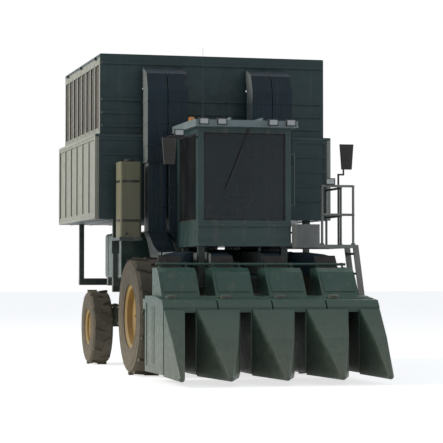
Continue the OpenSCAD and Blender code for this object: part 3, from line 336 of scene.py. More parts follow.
# Axle fittings: cast flanges bolted to the front axle's final drives, with filler and drain plugs,
# and the pressed caps of the kingpins on the rear axle.
drive_z, steer_y, cap_z = 0.915, 2.96, 1.047
flange_x, flange_bolts, bolt_circle = 0.90, 12, 0.20
king_cap = [(0, 0.012), (0.03, 0.012), (0.045, 0.004), (0.05, -0.001)]
axle_bits = Piece()
for side in (-1, 1):
    for k in range(flange_bolts):
        angle = 2 * math.pi * k / flange_bolts
        axle_bits.bolt((side * flange_x, drive_y + bolt_circle * math.cos(angle),
                        drive_z + bolt_circle * math.sin(angle)), (-side, 0, 0), 0.011)
    axle_bits.turned((side * 0.80, drive_y, drive_z), (side, 0, 0),
                     [(0.13, 0), (0.165, 0.01), (0.165, 0.09), (0.13, 0.10)])
    axle_bits.bolt((side * 1.0, drive_y - 0.24, drive_z), (0, -1, 0), 0.016, 0.014)
    axle_bits.turned((side * 1.08, steer_y, cap_z), (0, 0, 1), king_cap, 24)
axle_bits.bolt((0, drive_y - 0.20, 0.80), (0, -1, 0), 0.018, 0.016)
axle_bits.bolt((0.12, drive_y - 0.20, 0.98), (0, -1, 0), 0.014)
axle_bits.done("axle_fittings", chassis_paint, "chassis", "chassis_paint")


# Wheels: ribbed drive tyres in front and smaller steered tyres behind, dull rubber under pale field dust.
# The rims are pressed steel, painted yellow, with rust and dust round the bolts.
tyre_rubber = weathered("tyre_rubber", (0.022, 0.021, 0.02), (0.04, 0.037, 0.033), dust=0.8, rough=(0.7, 0.95),
                        low_dust=2.6, grain=0.05, specular=0.25)
rim_paint = weathered("rim_paint", (0.52, 0.32, 0.06), (0.4, 0.24, 0.08), dust=0.7, rough=(0.45, 0.75))
dress(tyre_rubber, "drive_tyre_left", "drive_tyre_right", "steer_tyre_left", "steer_tyre_right")
dress(rim_paint, "drive_rim_left", "drive_rim_right", "steer_rim_left", "steer_rim_right")


# Wheel fittings: steel nuts on washers round the dish, the hub's turned cover with its six screws,
# and the bent tube of the valve. Columns: body, side, X and Y of the wheel's middle, height of its axle
wheel_places = [("drive_wheel_left", 1, 1.35, drive_y, drive_z), ("drive_wheel_right", -1, -1.35, drive_y, drive_z),
                ("steer_wheel_left", 1, 1.40, steer_y, 0.65), ("steer_wheel_right", -1, -1.40, steer_y, 0.65)]
# Columns: nut circle, number of nuts, the dish's depth there, hub radius, rim radius
rim_kinds = {"drive": (0.255, 10, 0.066, 0.128, 0.483), "steer": (0.160, 8, 0.065, 0.088, 0.305)}
cover_screws = 6
for body, side, x, y, height in wheel_places:
    nut_circle, nuts, dish, hub, rim_r = rim_kinds[body[:5]]
    middle = Vector((x, y, height))
    out = Vector((side, 0, 0))
    fittings = Piece()
    for k in range(nuts):
        angle = 2 * math.pi * k / nuts
        spot = middle + out * dish + Vector((0, nut_circle * math.cos(angle), nut_circle * math.sin(angle)))
        fittings.rod(spot - out * 0.01, spot + out * 0.006, 0.026, 16)
        fittings.rod(spot, spot + out * 0.024, 0.017, 6)
        fittings.rod(spot, spot + out * 0.034, 0.009, 10)
    fittings.turned(middle + out * 0.070, out, [(0, 0.034), (hub * 0.35, 0.034), (hub * 0.42, 0.026),
                                                (hub * 0.8, 0.022), (hub * 0.97, 0.006), (hub, -0.001)])
    for k in range(cover_screws):
        angle = 2 * math.pi * (k + 0.5) / cover_screws
        reach = Vector((0, math.cos(angle), math.sin(angle))) * hub * 0.72
        fittings.bolt(middle + out * 0.088 + reach, out, 0.008, 0.007)
    valve = middle + out * 0.088 + Vector((0, 0, rim_r - 0.075))
    fittings.rod(valve, valve + out * 0.045 + Vector((0, 0, 0.012)), 0.006, 8)
    fittings.rod(valve + out * 0.03 + Vector((0, 0, 0.008)), valve + out * 0.055 + Vector((0, 0, 0.015)), 0.009, 8)
    fittings.done("fittings_" + body, rim_paint, body, "rim_paint")

# Sidewall rings: raised rubber bands, moulded with the tyre on both its sides, over the bead and below the
# shoulder. Columns: half width at the bead; radius and half width at the widest place, and at the shoulder
tyre_kinds = {"drive": (0.230, 0.6774, 0.250, 0.849, 0.240), "steer": (0.1656, 0.46025, 0.180, 0.594, 0.1728)}
bead = 0.013
for body, side, x, y, height in wheel_places:
    rim_r = rim_kinds[body[:5]][-1] + bead
    bead_w, wide_r, wide_w, shoulder_r, shoulder_w = tyre_kinds[body[:5]]
    rings = Piece()
    for face in (-1, 1):
        for share, proud, band in ((0.30, 0.004, 0.012), (0.62, 0.003, 0.008)):
            r = rim_r + (wide_r - rim_r) * share
            w = bead_w + (wide_w - bead_w) * share
            rings.turned((x, y, height), (face, 0, 0), [
                (r - band, w - 0.003), (r - band * 0.5, w + proud), (r + band * 0.5, w + proud + 0.001),
                (r + band, w - 0.002)], 72)
        r = wide_r + (shoulder_r - wide_r) * 0.45
        w = wide_w + (shoulder_w - wide_w) * 0.45
        rings.turned((x, y, height), (face, 0, 0), [
            (r - 0.01, w - 0.001), (r - 0.005, w + 0.004), (r + 0.005, w + 0.004), (r + 0.01, w - 0.003)], 72)
    rings.done("sidewall_" + body, tyre_rubber, body, "tyre")


# Engine bay: a cast engine under green sheet panels, with a black wire screen behind and a rusty stack.
# The panels are pressed steel hung on the rails with quarter-turn catches.
green_paint = weathered("green_paint", (0.012, 0.055, 0.046), (0.02, 0.072, 0.062), dust=0.5, coat=0.15)
iron = weathered("cast_iron", (0.05, 0.05, 0.052), (0.09, 0.085, 0.08), dust=0.6, rough=(0.5, 0.8), metallic=0.4)
black_metal = weathered("black_metal", (0.012, 0.012, 0.013), (0.03, 0.03, 0.03), dust=0.4, rough=(0.35, 0.6))
stack_steel = weathered("stack_steel", (0.16, 0.09, 0.055), (0.08, 0.06, 0.05), dust=0.2, rough=(0.55, 0.85),
                        metallic=0.6)
dress(iron, "engine_block")
dress(green_paint, "engine_panels", "fuel_tank", "oil_tank", "fan_housing")
dress(black_metal, "cooling_screen")
dress(stack_steel, "exhaust")
tank_plastic = weathered("tank_plastic", (0.2, 0.195, 0.12), (0.2, 0.19, 0.13), dust=0.5, rough=(0.45, 0.7))
dress(tank_plastic, "water_tank")


# Panel fittings: strips over the seams, quarter-turn catches, the folded blades of the louvres, and two lifting
# handles bent from round bar on top. All are steel, riveted or welded on and painted with the panels.
hood_low, hood_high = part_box("engine_panels")
louvres, first_louvre, louvre_pitch, louvre_turn = 5, 1.72, 0.09, math.radians(24)
handle_tall = 0.04
bay = Piece()
for side in (-1, 1):
    face = side * hood_high.x
    for y in (hood_low.y + 0.14, hood_low.y + 1.10, hood_high.y - 0.14):
        bay.box((face, y - 0.008, hood_low.z + 0.03), (face + side * 0.006, y + 0.008, hood_high.z - 0.03), 0.002)
    for y in (hood_low.y + 0.20, hood_low.y + 1.04, hood_high.y - 0.22):
        bay.turned((face, y, hood_high.z - 0.10), (side, 0, 0),
                   [(0, 0.018), (0.016, 0.018), (0.028, 0.008), (0.03, 0)], 20)
        bay.box((face + side * 0.012, y - 0.022, hood_high.z - 0.104),
                (face + side * 0.024, y + 0.022, hood_high.z - 0.096))
    for k in range(louvres):
        z = first_louvre + louvre_pitch * k
        bay.box((face, hood_low.y + 0.27, z + 0.038), (face + side * 0.022, hood_low.y + 0.97, z + 0.044), 0.002,
                Matrix.Rotation(-side * louvre_turn, 4, "Y"))
for y in (hood_low.y + 0.45, hood_low.y + 0.95):
    bay.pipe([(0.25, y, hood_high.z), (0.25, y, hood_high.z + handle_tall), (0.40, y, hood_high.z + handle_tall),
              (0.40, y, hood_high.z)], 0.007)
bay.done("bay_catches", green_paint, "chassis", "green_paint")

# Screen wires: flat steel wires crossed behind the intake screen's frame, 20 mm apart, which keep lint out of
# the cooler. Their ends are spot-welded to the frame, and four bolts hold it.
screen_low, screen_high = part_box("cooling_screen")
uprights, uprights_wide, crossings, crossings_tall, wire_half = 56, 1.11, 35, 0.68, 0.0012
wires = Piece()
wire_y = screen_high.y - 0.008
for k in range(uprights):
    x = uprights_wide * (k / (uprights - 1) - 0.5)
    wires.box((x - wire_half, wire_y - 0.001, screen_low.z + 0.06),
              (x + wire_half, wire_y + 0.001, screen_high.z - 0.06))
for k in range(crossings):
    z = screen_low.z + 0.07 + crossings_tall * k / (crossings - 1)
    wires.box((-0.56, wire_y + 0.001, z - wire_half), (0.56, wire_y + 0.003, z + wire_half))
for x in (-0.6, 0.6):
    for z in (screen_low.z + 0.12, screen_high.z - 0.12):
        wires.bolt((x, screen_high.y, z), (0, 1, 0), 0.012)
wires.done("screen_wires", black_metal, "chassis", "black_metal")

# Stack fittings: rolled bands and upright ribs of bare steel round the silencer, welded on, and the bolted
# flange at its foot.
stack_low, stack_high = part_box("exhaust")
stack_at = (stack_low + stack_high) / 2
band = [(0.094, -0.012), (0.099, -0.008), (0.099, 0.008), (0.094, 0.012)]
ribs = 5
stack = Piece()
for z in (stack_low.z + 0.20, stack_low.z + 0.63):
    stack.turned((stack_at.x, stack_at.y, z), (0, 0, 1), band)
for k in range(ribs):
    angle = 2 * math.pi * k / ribs
    x, y = stack_at.x + 0.098 * math.cos(angle), stack_at.y + 0.098 * math.sin(angle)
    stack.box((x - 0.012, y - 0.012, stack_low.z + 0.26), (x + 0.012, y + 0.012, stack_low.z + 0.58), 0.003,
              Matrix.Rotation(angle, 4, "Z"))
stack.turned((stack_at.x, stack_at.y, stack_low.z + 0.03), (0, 0, 1),
             [(0.044, -0.03), (0.07, -0.03), (0.07, -0.018), (0.05, -0.012), (0.044, 0.01)])
for k in range(4):
    angle = math.pi / 4 + math.pi * k / 2
    stack.bolt((stack_at.x + 0.06 * math.cos(angle), stack_at.y + 0.06 * math.sin(angle), stack_low.z + 0.012),
               (0, 0, 1), 0.006, 0.006)
stack.done("stack_fittings", stack_steel, "chassis", "exhaust_steel")

# Tank fittings: steel straps that hold the fuel tank down, screwed filler caps on it and the oil tank, and the
# oil tank's sight glass and corner strips.
filler = [(0, 0.055), (0.045, 0.055), (0.05, 0.045), (0.05, 0.02), (0.036, 0.02), (0.036, -0.002)]
breather = [(0, 0.07), (0.04, 0.07), (0.045, 0.06), (0.045, 0.03), (0.032, 0.03), (0.032, -0.002)]
tanks = Piece()
tank_low, tank_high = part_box("fuel_tank")
for y in (tank_low.y + 0.25, tank_high.y - 0.25):
    tanks.box((tank_low.x - 0.004, y - 0.02, tank_low.z + 0.05), (tank_low.x, y + 0.02, tank_high.z - 0.05), 0.001)
    tanks.box((tank_low.x + 0.05, y - 0.02, tank_high.z), (tank_high.x - 0.05, y + 0.02, tank_high.z + 0.004), 0.001)
tanks.turned((tank_low.x + 0.16, tank_low.y + 0.62, tank_high.z), (0, 0, 1), filler, 24)
oil_low, oil_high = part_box("oil_tank")
tanks.turned((oil_high.x - 0.16, oil_low.y + 0.2, oil_high.z), (0, 0, 1), breather, 24)
tanks.box((oil_high.x, oil_low.y + 0.40, oil_low.z + 0.16), (oil_high.x + 0.012, oil_low.y + 0.44, oil_low.z + 0.40),
          0.004)
for y in (oil_low.y + 0.03, oil_high.y - 0.03):
    tanks.box((oil_high.x, y - 0.012, oil_low.z + 0.03), (oil_high.x + 0.005, y + 0.012, oil_high.z - 0.03), 0.002)
tanks.done("tank_fittings", black_metal, "chassis", "black_metal")

# Water tank's straps: two steel bands round the moulded tank, drawn tight by a bolt in front, with the
# screwed lid on top and the drain tap at the foot.
water_low, water_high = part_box("water_tank")
water_middle = (water_low.x + water_high.x) / 2
strap, strap_half, corner = 0.004, 0.02, 0.03
screwed_lid = [(0, 0.05), (0.07, 0.05), (0.08, 0.04), (0.08, 0.012), (0.065, 0.0), (0.065, -0.002)]
water = Piece()
for share in (0.22, 0.74):
    z = water_low.z + (water_high.z - water_low.z) * share
    low, high = z - strap_half, z + strap_half
    for x in (water_low.x - strap, water_high.x):
        water.box((x, water_low.y + corner, low), (x + strap, water_high.y - corner, high), 0.001)
    water.box((water_low.x + corner, water_low.y - strap, low), (water_high.x - corner, water_low.y, high), 0.001)
    water.bolt((water_middle, water_low.y - strap, z), (0, -1, 0), 0.010)
water.turned((water_middle, water_low.y + 0.18, water_high.z), (0, 0, 1), screwed_lid, 32)
tap = Vector((water_low.x + 0.1, water_low.y, water_low.z + 0.05))
water.rod(tap + Vector((0, 0.03, 0)), tap - Vector((0, 0.03, 0)), 0.018, 16)
water.rod(tap - Vector((0, 0.02, 0)), tap + Vector((0, -0.02, 0.04)), 0.006, 8)
water.done("water_straps", black_metal, "chassis", "black_metal")

# Fan guards: rings and spokes of steel wire, welded where they cross, over the fan's two intakes.
# They keep hands and lint out, and their ends are bent over the intakes' rims.
fan_y, fan_z, spokes, spoke_reach = -0.56, 1.735, 6, 0.125
guards = Piece()
for side in (-1, 1):
    for radius in (0.03, 0.06, 0.09, 0.112):
        guards.turned((side * 0.2, fan_y, fan_z), (side, 0, 0),
                      [(radius - 0.002, -0.001), (radius, 0.003), (radius + 0.002, -0.001)], 40)
    for k in range(spokes):
        angle = math.pi * k / spokes
        reach = Vector((0, math.cos(angle), math.sin(angle))) * spoke_reach
        centre = Vector((side * 0.202, fan_y, fan_z))
        guards.rod(centre - reach, centre + reach, 0.0022, 6)
guards.done("fan_guards", black_metal, "chassis", "black_metal")


# Cab: a welded sheet body with large flat panes, a moulded roof and a door on the left.
# The sheet is dark green; the panes are lightly tinted and dusty; the roof is sun-bleached.
def pane(name):
    """Lightly tinted glass that lets light through, with a dusty film."""
    made = bpy.data.materials.new(name)
    made.use_nodes = True
    tree = made.node_tree
    tree.nodes.clear()
    film = ramp(tree, mottle(tree, 1.3, 2.0, (1, 1, 0.5)), 0.3, 0.8, 0.03, 0.09)
    clear = node(tree, "ShaderNodeBsdfTransparent", {"Color": (0.48, 0.56, 0.57, 1)})
    sheen = node(tree, "ShaderNodeBsdfGlossy", {"Color": (0.4, 0.45, 0.5, 1), "Roughness": 0.02})
    dusty = node(tree, "ShaderNodeBsdfDiffuse", {"Color": (0.3, 0.31, 0.31, 1)})
    gloss = node(tree, "ShaderNodeFresnel", {"IOR": 1.5}).outputs[0]
    glass = node(tree, "ShaderNodeMixShader", {0: gloss, 1: clear.outputs[0], 2: sheen.outputs[0]})
    over = node(tree, "ShaderNodeMixShader", {0: film, 1: glass.outputs[0], 2: dusty.outputs[0]})
    node(tree, "ShaderNodeOutputMaterial", {"Surface": over.outputs[0]})
    return made


cab_paint = weathered("cab_paint", (0.012, 0.045, 0.045), (0.02, 0.06, 0.06), dust=0.35, coat=0.2)
roof_paint = weathered("roof_paint", (0.2, 0.26, 0.27), (0.28, 0.34, 0.35), dust=0.3, rough=(0.3, 0.5), coat=0.2)
dress(cab_paint, "cab_body", "door_frame")
dress(pane("cab_pane"), "cab_glass", "door_glass")
dress(roof_paint, "cab_roof")
dark_plastic = weathered("dark_plastic", (0.018, 0.018, 0.02), (0.035, 0.035, 0.036), dust=0.3, rough=(0.5, 0.75))
dress(dark_plastic, "cab_controls", "seat_base")
seat_cloth = weathered("seat_cloth", (0.03, 0.032, 0.036), (0.05, 0.052, 0.055), dust=0.3, rough=(0.8, 0.95))
dress(seat_cloth, "seat_cushion")


# Window gaskets: black rubber strips, pressed into the frames' edges round each pane, and one in the door that
# swings with it.
rubber = weathered("rubber", (0.012, 0.012, 0.012), (0.022, 0.022, 0.022), dust=0.4, rough=(0.6, 0.85))
cab_half, cab_front, cab_rear = 0.73, -1.84, -0.39
glass_low, glass_high = 2.38, 3.71


def gasket(piece, axis, place, out, across, up, width=0.018):
    """A rubber frame round an opening in a side wall (axis 0) or an end wall (axis 1), set into its edge."""
    (left, right), (foot, head) = across, up
    face = sorted((place, place + out))
    for low, high in (((left, foot), (right, foot + width)), ((left, head - width), (right, head)),
                      ((left, foot), (left + width, head)), ((right - width, foot), (right, head))):
        if axis == 0:
            piece.box((face[0], low[0], low[1]), (face[1], high[0], high[1]), 0.003)
        else:
            piece.box((low[0], face[0], low[1]), (high[0], face[1], high[1]), 0.003)


gaskets = Piece()
gasket(gaskets, 1, cab_front + 0.006, 0.013, (-0.64, 0.64), (glass_low, glass_high))
gasket(gaskets, 1, cab_rear - 0.019, 0.013, (-0.56, 0.56), (2.63, glass_high))
gasket(gaskets, 0, -cab_half + 0.006, 0.013, (-1.70, -0.56), (glass_low, glass_high))
gaskets.done("window_gaskets", rubber, "chassis", "black_metal")
door_seal = Piece()
gasket(door_seal, 0, cab_half - 0.019, 0.014, (-1.562, -0.778), (2.34, 3.632), 0.016)
door_seal.done("door_gasket", rubber, "door", "black_metal")

# Wiper: a pressed steel arm with a stay beside it and a rubber blade, on a spindle above the windshield.
# It parks across the pane.
wiper_y = cab_front - 0.012
wiper = Piece()
pivot = Vector((0.05, wiper_y, 3.735))
tip = Vector((-0.20, wiper_y, 3.10))
wiper.turned(pivot + Vector((0, 0.014, 0)), (0, -1, 0), [(0.03, 0), (0.028, 0.02), (0.012, 0.03), (0, 0.03)], 20)
wiper.rod(pivot, tip, 0.006, 8).rod(pivot + Vector((0.03, 0, 0)), tip + Vector((0.02, 0, 0.05)), 0.004, 8)
blade_along = (tip - pivot).normalized()
wiper.rod(tip - blade_along * 0.32, tip + blade_along * 0.30, 0.007, 6)
wiper.done("wiper", black_metal, "chassis", "black_metal")

# Door handles: a lever of bent round bar on a turned boss, and a long pull bar above it, both black steel and
# screwed to the door's frame.
lever_y, lever_z, pull_y, pull_foot, pull_head = -1.585, 2.70, -1.60, 2.82, 3.22
off_door = cab_half + 0.045
door_handles = Piece()
door_handles.turned((cab_half, lever_y, lever_z), (1, 0, 0), [(0.03, 0), (0.03, 0.012), (0.02, 0.02), (0, 0.02)], 20)
door_handles.pipe([(cab_half + 0.012, lever_y, lever_z), (off_door, lever_y, lever_z), (off_door, -1.46, lever_z)],
                  0.008)
door_handles.pipe([(cab_half - 0.002, pull_y, pull_foot), (off_door, pull_y, pull_foot),
                   (off_door, pull_y, pull_head), (cab_half - 0.002, pull_y, pull_head)], 0.010)
door_handles.done("door_handles", black_metal, "door", "black_metal")

# Cab fittings: a grab bar of steel tube beside the doorway on two welded flanges, bolts through the front
# panel's edges, and its folded corners. They are painted with the cab.
grab_y, grab_foot, grab_head = -1.79, 2.62, 3.40
off_cab = cab_half + 0.06
grab = Piece()
grab.pipe([(cab_half - 0.002, grab_y, grab_foot), (off_cab, grab_y, grab_foot), (off_cab, grab_y, grab_head),
           (cab_half - 0.002, grab_y, grab_head)], 0.013, 12)
for z in (grab_foot, grab_head):
    grab.turned((cab_half, grab_y, z), (1, 0, 0), [(0.03, -0.001), (0.03, 0.005), (0.014, 0.008)], 20)
for x in (-0.6, -0.3, 0.0, 0.3, 0.6):
    grab.bolt((x, cab_front - 0.035, 2.02), (0, -1, 0), 0.009)
    grab.bolt((x, cab_front - 0.035, 2.31), (0, -1, 0), 0.007)
for x in (-0.715, 0.715):
    grab.box((x - 0.014, cab_front - 0.006, 2.06), (x + 0.014, cab_front, 2.29), 0.002)
grab.box((-0.66, cab_front - 0.004, 2.10), (0.66, cab_front, 2.105), 0.001)
grab.done("cab_fittings", cab_paint, "chassis", "green_paint")

# Roof mouldings: a drip strip round the edge that keeps rain off the panes, and two stiffening ribs along the
# top. They are moulded in one with the plastic roof.
drip_x, drip_low, drip_high = 0.806, 3.792, 3.815
roof = Piece()
for front, back in ((-1.996, -1.988), (-0.362, -0.354)):
    roof.box((-drip_x, front, drip_low), (drip_x, back, drip_high), 0.003)
for side in (-1, 1):
    roof.box((side * 0.798, -1.99, drip_low), (side * drip_x, -0.36, drip_high), 0.003)
    roof.box((side * 0.25 - 0.012, -1.94, 3.880), (side * 0.25 + 0.012, -0.50, 3.938), 0.003)
roof.done("roof_mouldings", roof_paint, "chassis", "roof_paint")

# Aerial: a tapered whip of stiff glass fibre, with a ball on its tip, in a moulded foot that is screwed to the
# roof's right front corner.
aerial_x, aerial_y, aerial_tip = -0.66, -1.86, 4.98
aerial = Piece()
aerial.turned((aerial_x, aerial_y, 3.84), (0, 0, 1),
              [(0.03, 0.0), (0.03, 0.035), (0.012, 0.05), (0.008, 0.11), (0, 0.11)], 20)
aerial.rod((aerial_x, aerial_y, 3.94), (aerial_x, aerial_y, aerial_tip), 0.0035, 8, 0.0015)
aerial.ball((aerial_x, aerial_y, aerial_tip), 0.004)
aerial.done("aerial", black_metal, "chassis", "black_metal")

# Controls: a moulded plastic console with levers in rubber gaiters and two rows of rocker switches, armrests on
# both sides of the cushions, a dash plate behind the wheel, and two ribbed pedals.
console_top = 2.572
# Columns: X, Y, height
levers = [(-0.56, -1.18, 0.11), (-0.50, -1.18, 0.11), (-0.44, -1.18, 0.11), (-0.47, -1.02, 0.17)]
gaiter = [(0.026, 0), (0.02, 0.012), (0.012, 0.02), (0.008, 0.024)]
switch_x, switch_y, switch_step, row_step = -0.60, -0.93, 0.042, 0.055
console = Piece()
console.box((-0.63, -1.27, 2.550), (-0.39, -0.79, console_top), 0.006)
for x, y, tall in levers:
    console.turned((x, y, console_top), (0, 0, 1), gaiter, 16)
    console.rod((x, y, 2.58), (x, y - 0.02, 2.58 + tall), 0.006, 8)
    console.ball((x, y - 0.02, 2.58 + tall), 0.019)
for row in range(2):
    for k in range(5):
        x, y = switch_x + switch_step * k, switch_y + row_step * row
        console.box((x, y, console_top - 0.001), (x + 0.028, y + 0.035, console_top + 0.008), 0.003)
console.box((-0.05, -1.50, 2.745), (0.05, -1.40, 2.765), 0.006, Matrix.Rotation(math.radians(-14), 4, "X"))
for side in (-1, 1):
    console.box((side * 0.302 - 0.03, -1.09, 2.628), (side * 0.302 + 0.03, -0.71, 2.652), 0.010)
for x in (-0.15, 0.15):
    console.box((x - 0.04, -1.74, 2.10), (x + 0.04, -1.66, 2.115), 0.005, Matrix.Rotation(math.radians(38), 4, "X"))
    console.rod((x, -1.70, 2.09), (x, -1.76, 2.054), 0.008, 8)
console.done("console_controls", dark_plastic, "chassis", "dark_plastic")

# Floor mat: pressed rubber that lies loose on the cab's floor, with ribs across its front half to wipe boots on.
# It is cut to the floor's width.
mat_ribs, ribs_wide = 40, 1.3
mat = Piece()
mat.box((-0.67, -1.78, 2.0503), (0.67, -1.32, 2.056), 0.002)
for k in range(mat_ribs):
    x = ribs_wide * (k / (mat_ribs - 1) - 0.5)
    mat.box((x - 0.006, -1.76, 2.055), (x + 0.006, -1.50, 2.060), 0.001)
mat.done("floor_mat", rubber, "chassis", "black_metal")


# Cushions: foam pads in woven dark cloth, sewn down in channels, which lie on the moulded base of the driving
# place and against its back. They stand for the solid cushions of the frame.
voxel, pressure, cloth_steps = 0.006, 4, 20
channels, seam_half, seam_depth, most_swell = 4, 0.10, 0.1, 0.009


def cushion(name, low, high, flat):
    """A foam pad under woven cloth: blown up by a cloth simulation, then drawn in along its sewn channels.

    flat is the number of the axis that the pad is thin along.
    """
    middle, size = (Vector(low) + Vector(high)) / 2, Vector(high) - Vector(low)
    before_swelling = Matrix.Diagonal((*(size * 0.93), 1))
    shape = bmesh.new()
    bmesh.ops.create_cube(shape, size=1.0, matrix=Matrix.Translation(middle) @ before_swelling)
    bmesh.ops.bevel(shape, geom=shape.edges[:], offset=0.022, segments=3, profile=0.5, affect="EDGES")
    data = bpy.data.meshes.new(name)
    shape.to_mesh(data)
    shape.free()
    data.materials.append(seat_cloth)
    pad = bpy.data.objects.new(name, data)
    bpy.context.scene.collection.objects.link(pad)
    bpy.context.view_layer.objects.active = pad
    remesh = pad.modifiers.new("remesh", "REMESH")
    remesh.mode = "VOXEL"
    remesh.voxel_size = voxel
    bpy.ops.object.modifier_apply(modifier="remesh")
    start = [vert.co.copy() for vert in pad.data.vertices]
    cloth = pad.modifiers.new("cloth", "CLOTH")
    cloth.settings.use_pressure = True
    cloth.settings.uniform_pressure_force = pressure
    cloth.settings.effector_weights.gravity = 0
    for step in range(1, cloth_steps + 1):
        bpy.context.scene.frame_set(step)
    bpy.ops.object.modifier_apply(modifier="cloth")
    bpy.context.scene.frame_set(1)
    for vert, was in zip(pad.data.vertices, start):
        moved = vert.co - was
        if moved.length > most_swell:
            vert.co = was + moved.normalized() * most_swell
        across = (vert.co.x - middle.x) / size.x * channels
        seam = round(across)
        if abs(seam) < channels / 2:
            drawn_in = seam_depth * max(0.0, 1 - abs(across - seam) / seam_half)
            vert.co[flat] += (middle[flat] - vert.co[flat]) * drawn_in
    smooth = pad.modifiers.new("smooth", "SUBSURF")
    smooth.levels = smooth.render_levels = 1
    bpy.ops.object.modifier_apply(modifier="smooth")
    pad.data.polygons.foreach_set("use_smooth", [True] * len(pad.data.polygons))
    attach(pad, "chassis")
    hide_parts("seat_cushion")


cushion("cushion_bottom", (-0.232, -1.162, 2.362), (0.232, -0.752, 2.468), 2)
cushion("cushion_back", (-0.225, -0.758, 2.474), (0.225, -0.664, 3.074), 1)

# Piping: a thin cord in a strip of the same cloth, sewn into the seam round the foot of the lower cushion.
# It closes on itself and hides the stitches.
piping_x, piping_front, piping_rear, piping_z = 0.222, -1.152, -0.762, 2.40
piping_corners = ((-1, piping_front), (1, piping_front), (1, piping_rear), (-1, piping_rear), (-1, piping_front))
piping = Piece()
piping.pipe([(side * piping_x, y, piping_z) for side, y in piping_corners], 0.0045, 8)
piping.done("cushion_piping", seat_cloth, "chassis", "seat_fabric")


# Platform, ladder, mirrors and lamps, bolted on round the cab.
# The deck and rails are galvanised steel gone dull, the mirrors are black plastic on tube arms.
deck_steel = weathered("deck_steel", (0.11, 0.12, 0.12), (0.17, 0.18, 0.18), dust=0.6, rough=(0.4, 0.7), metallic=0.5)
dress(deck_steel, "platform", "ladder", "handrails")
dress(black_metal, "mirrors")
lens = weathered("lamp_lens", (0.6, 0.63, 0.64), (0.7, 0.72, 0.72), dust=0.25, rough=(0.08, 0.2), coat=0.6)
amber = weathered("beacon_lens", (0.75, 0.26, 0.02), (0.65, 0.22, 0.02), dust=0.2, rough=(0.1, 0.25), coat=0.6)
dress(lens, "lamps")
dress(amber, "beacon")


# Deck grating: upright flat bars with round cross bars forged through them, welded into the openings of the
# deck's plate. Columns of openings run outwards from the cab.
opening_wide, opening_long, opening_pitch_x, opening_pitch_y = 0.14, 0.215, 0.18, 0.265
bars, bar_pitch, bar_foot, bar_top, crossbars, crossbar_pitch = 6, 0.0232, 1.982, 2.012, 3, 0.058
grating = Piece()
for i in range(5):
    for j in range(5):
        x, y = cab_half + 0.06 + opening_pitch_x * i, -1.82 + opening_pitch_y * j
        for k in range(bars):
            bar = x + 0.012 + bar_pitch * k
            grating.box((bar - 0.0015, y, bar_foot), (bar + 0.0015, y + opening_long, bar_top))
        for k in range(crossbars):
            cross = y + 0.05 + crossbar_pitch * k
            grating.rod((x, cross, 2.006), (x + opening_wide, cross, 2.006), 0.003, 6)
grating.done("deck_grating", deck_steel, "chassis", "deck_steel")

# Ladder treads: four anti-slip ribs welded along each step; and on the handrails' posts, bolted feet and
# collars where the rails are welded in. All are galvanised steel.
steps, ladder_top, ladder_foot, ladder_in, ladder_out = 5, 2.02, 0.48, 1.76, 1.96
tread_front, tread_rear, tread_pitch = -1.715, -1.325, 0.016
posts, rail_heights = ((1.72, -1.86), (1.72, -1.24), (1.72, -0.49), (1.22, -1.86)), (2.48, 2.92)
post_collar = [(0.0188, 0), (0.024, 0.004), (0.024, 0.020), (0.0188, 0.024)]
treads = Piece()
for k in range(steps):
    share = (k + 0.4) / steps
    z = ladder_top + share * (ladder_foot - ladder_top)
    x = ladder_in + share * (ladder_out - ladder_in)
    for r in range(4):
        rib = x + 0.008 + tread_pitch * r
        treads.box((rib, tread_front, z), (rib + 0.006, tread_rear, z + 0.004), 0.001)
for x, y in posts:
    for dx in (-0.026, 0.026):
        treads.bolt((x + dx, y, 2.0325), (0, 0, 1), 0.006, 0.006)
    for z in rail_heights:
        treads.turned((x, y, z - 0.012), (0, 0, 1), post_collar, 20)
for y, way in ((-1.735, -1), (-1.315, 1)):
    treads.bolt((1.78, y, 1.995), (0, way, 0), 0.009)
treads.done("ladder_treads", deck_steel, "chassis", "deck_steel")

# Mirrors: silvered glass in a black moulded shell that faces the cab, with ribs across its back and a rolled
# edge round it. The left one stands on the handrail, the right one on the roof's bracket.
mirror_glass = weathered("mirror_glass", (0.75, 0.78, 0.8), (0.65, 0.68, 0.7), dust=0.12, rough=(0.02, 0.06),
                         metallic=1.0)
mirror_places = [(1.90, -1.01, 3.43), (-1.17, -1.84, 3.42)]
foot_half, head_half, tall_half, edge_out = 0.076, 0.095, 0.185, 0.05
shells, panes = Piece(), Piece()
for x, y, z in mirror_places:
    panes.box((x - 0.070, y + 0.0495, z - 0.175), (x + 0.070, y + 0.0525, z + 0.175), 0.001)
    for dz in (-0.12, -0.06, 0.0, 0.06, 0.12):
        shells.box((x - 0.075, y - 0.004, z + dz - 0.006), (x + 0.075, y + 0.001, z + dz + 0.006), 0.002)
    edge, foot, head = y + edge_out, z - tall_half, z + tall_half
    for side in (-1, 1):
        shells.rod((x + side * foot_half, edge, foot), (x + side * head_half, edge, head), 0.005, 8)
    shells.rod((x - foot_half, edge, foot), (x + foot_half, edge, foot), 0.005, 8)
    shells.rod((x - head_half, edge, head), (x + head_half, edge, head), 0.005, 8)
shells.done("mirror_backs", black_metal, "chassis", "black_metal")
panes.done("mirror_glasses", mirror_glass, "chassis", "black_metal")

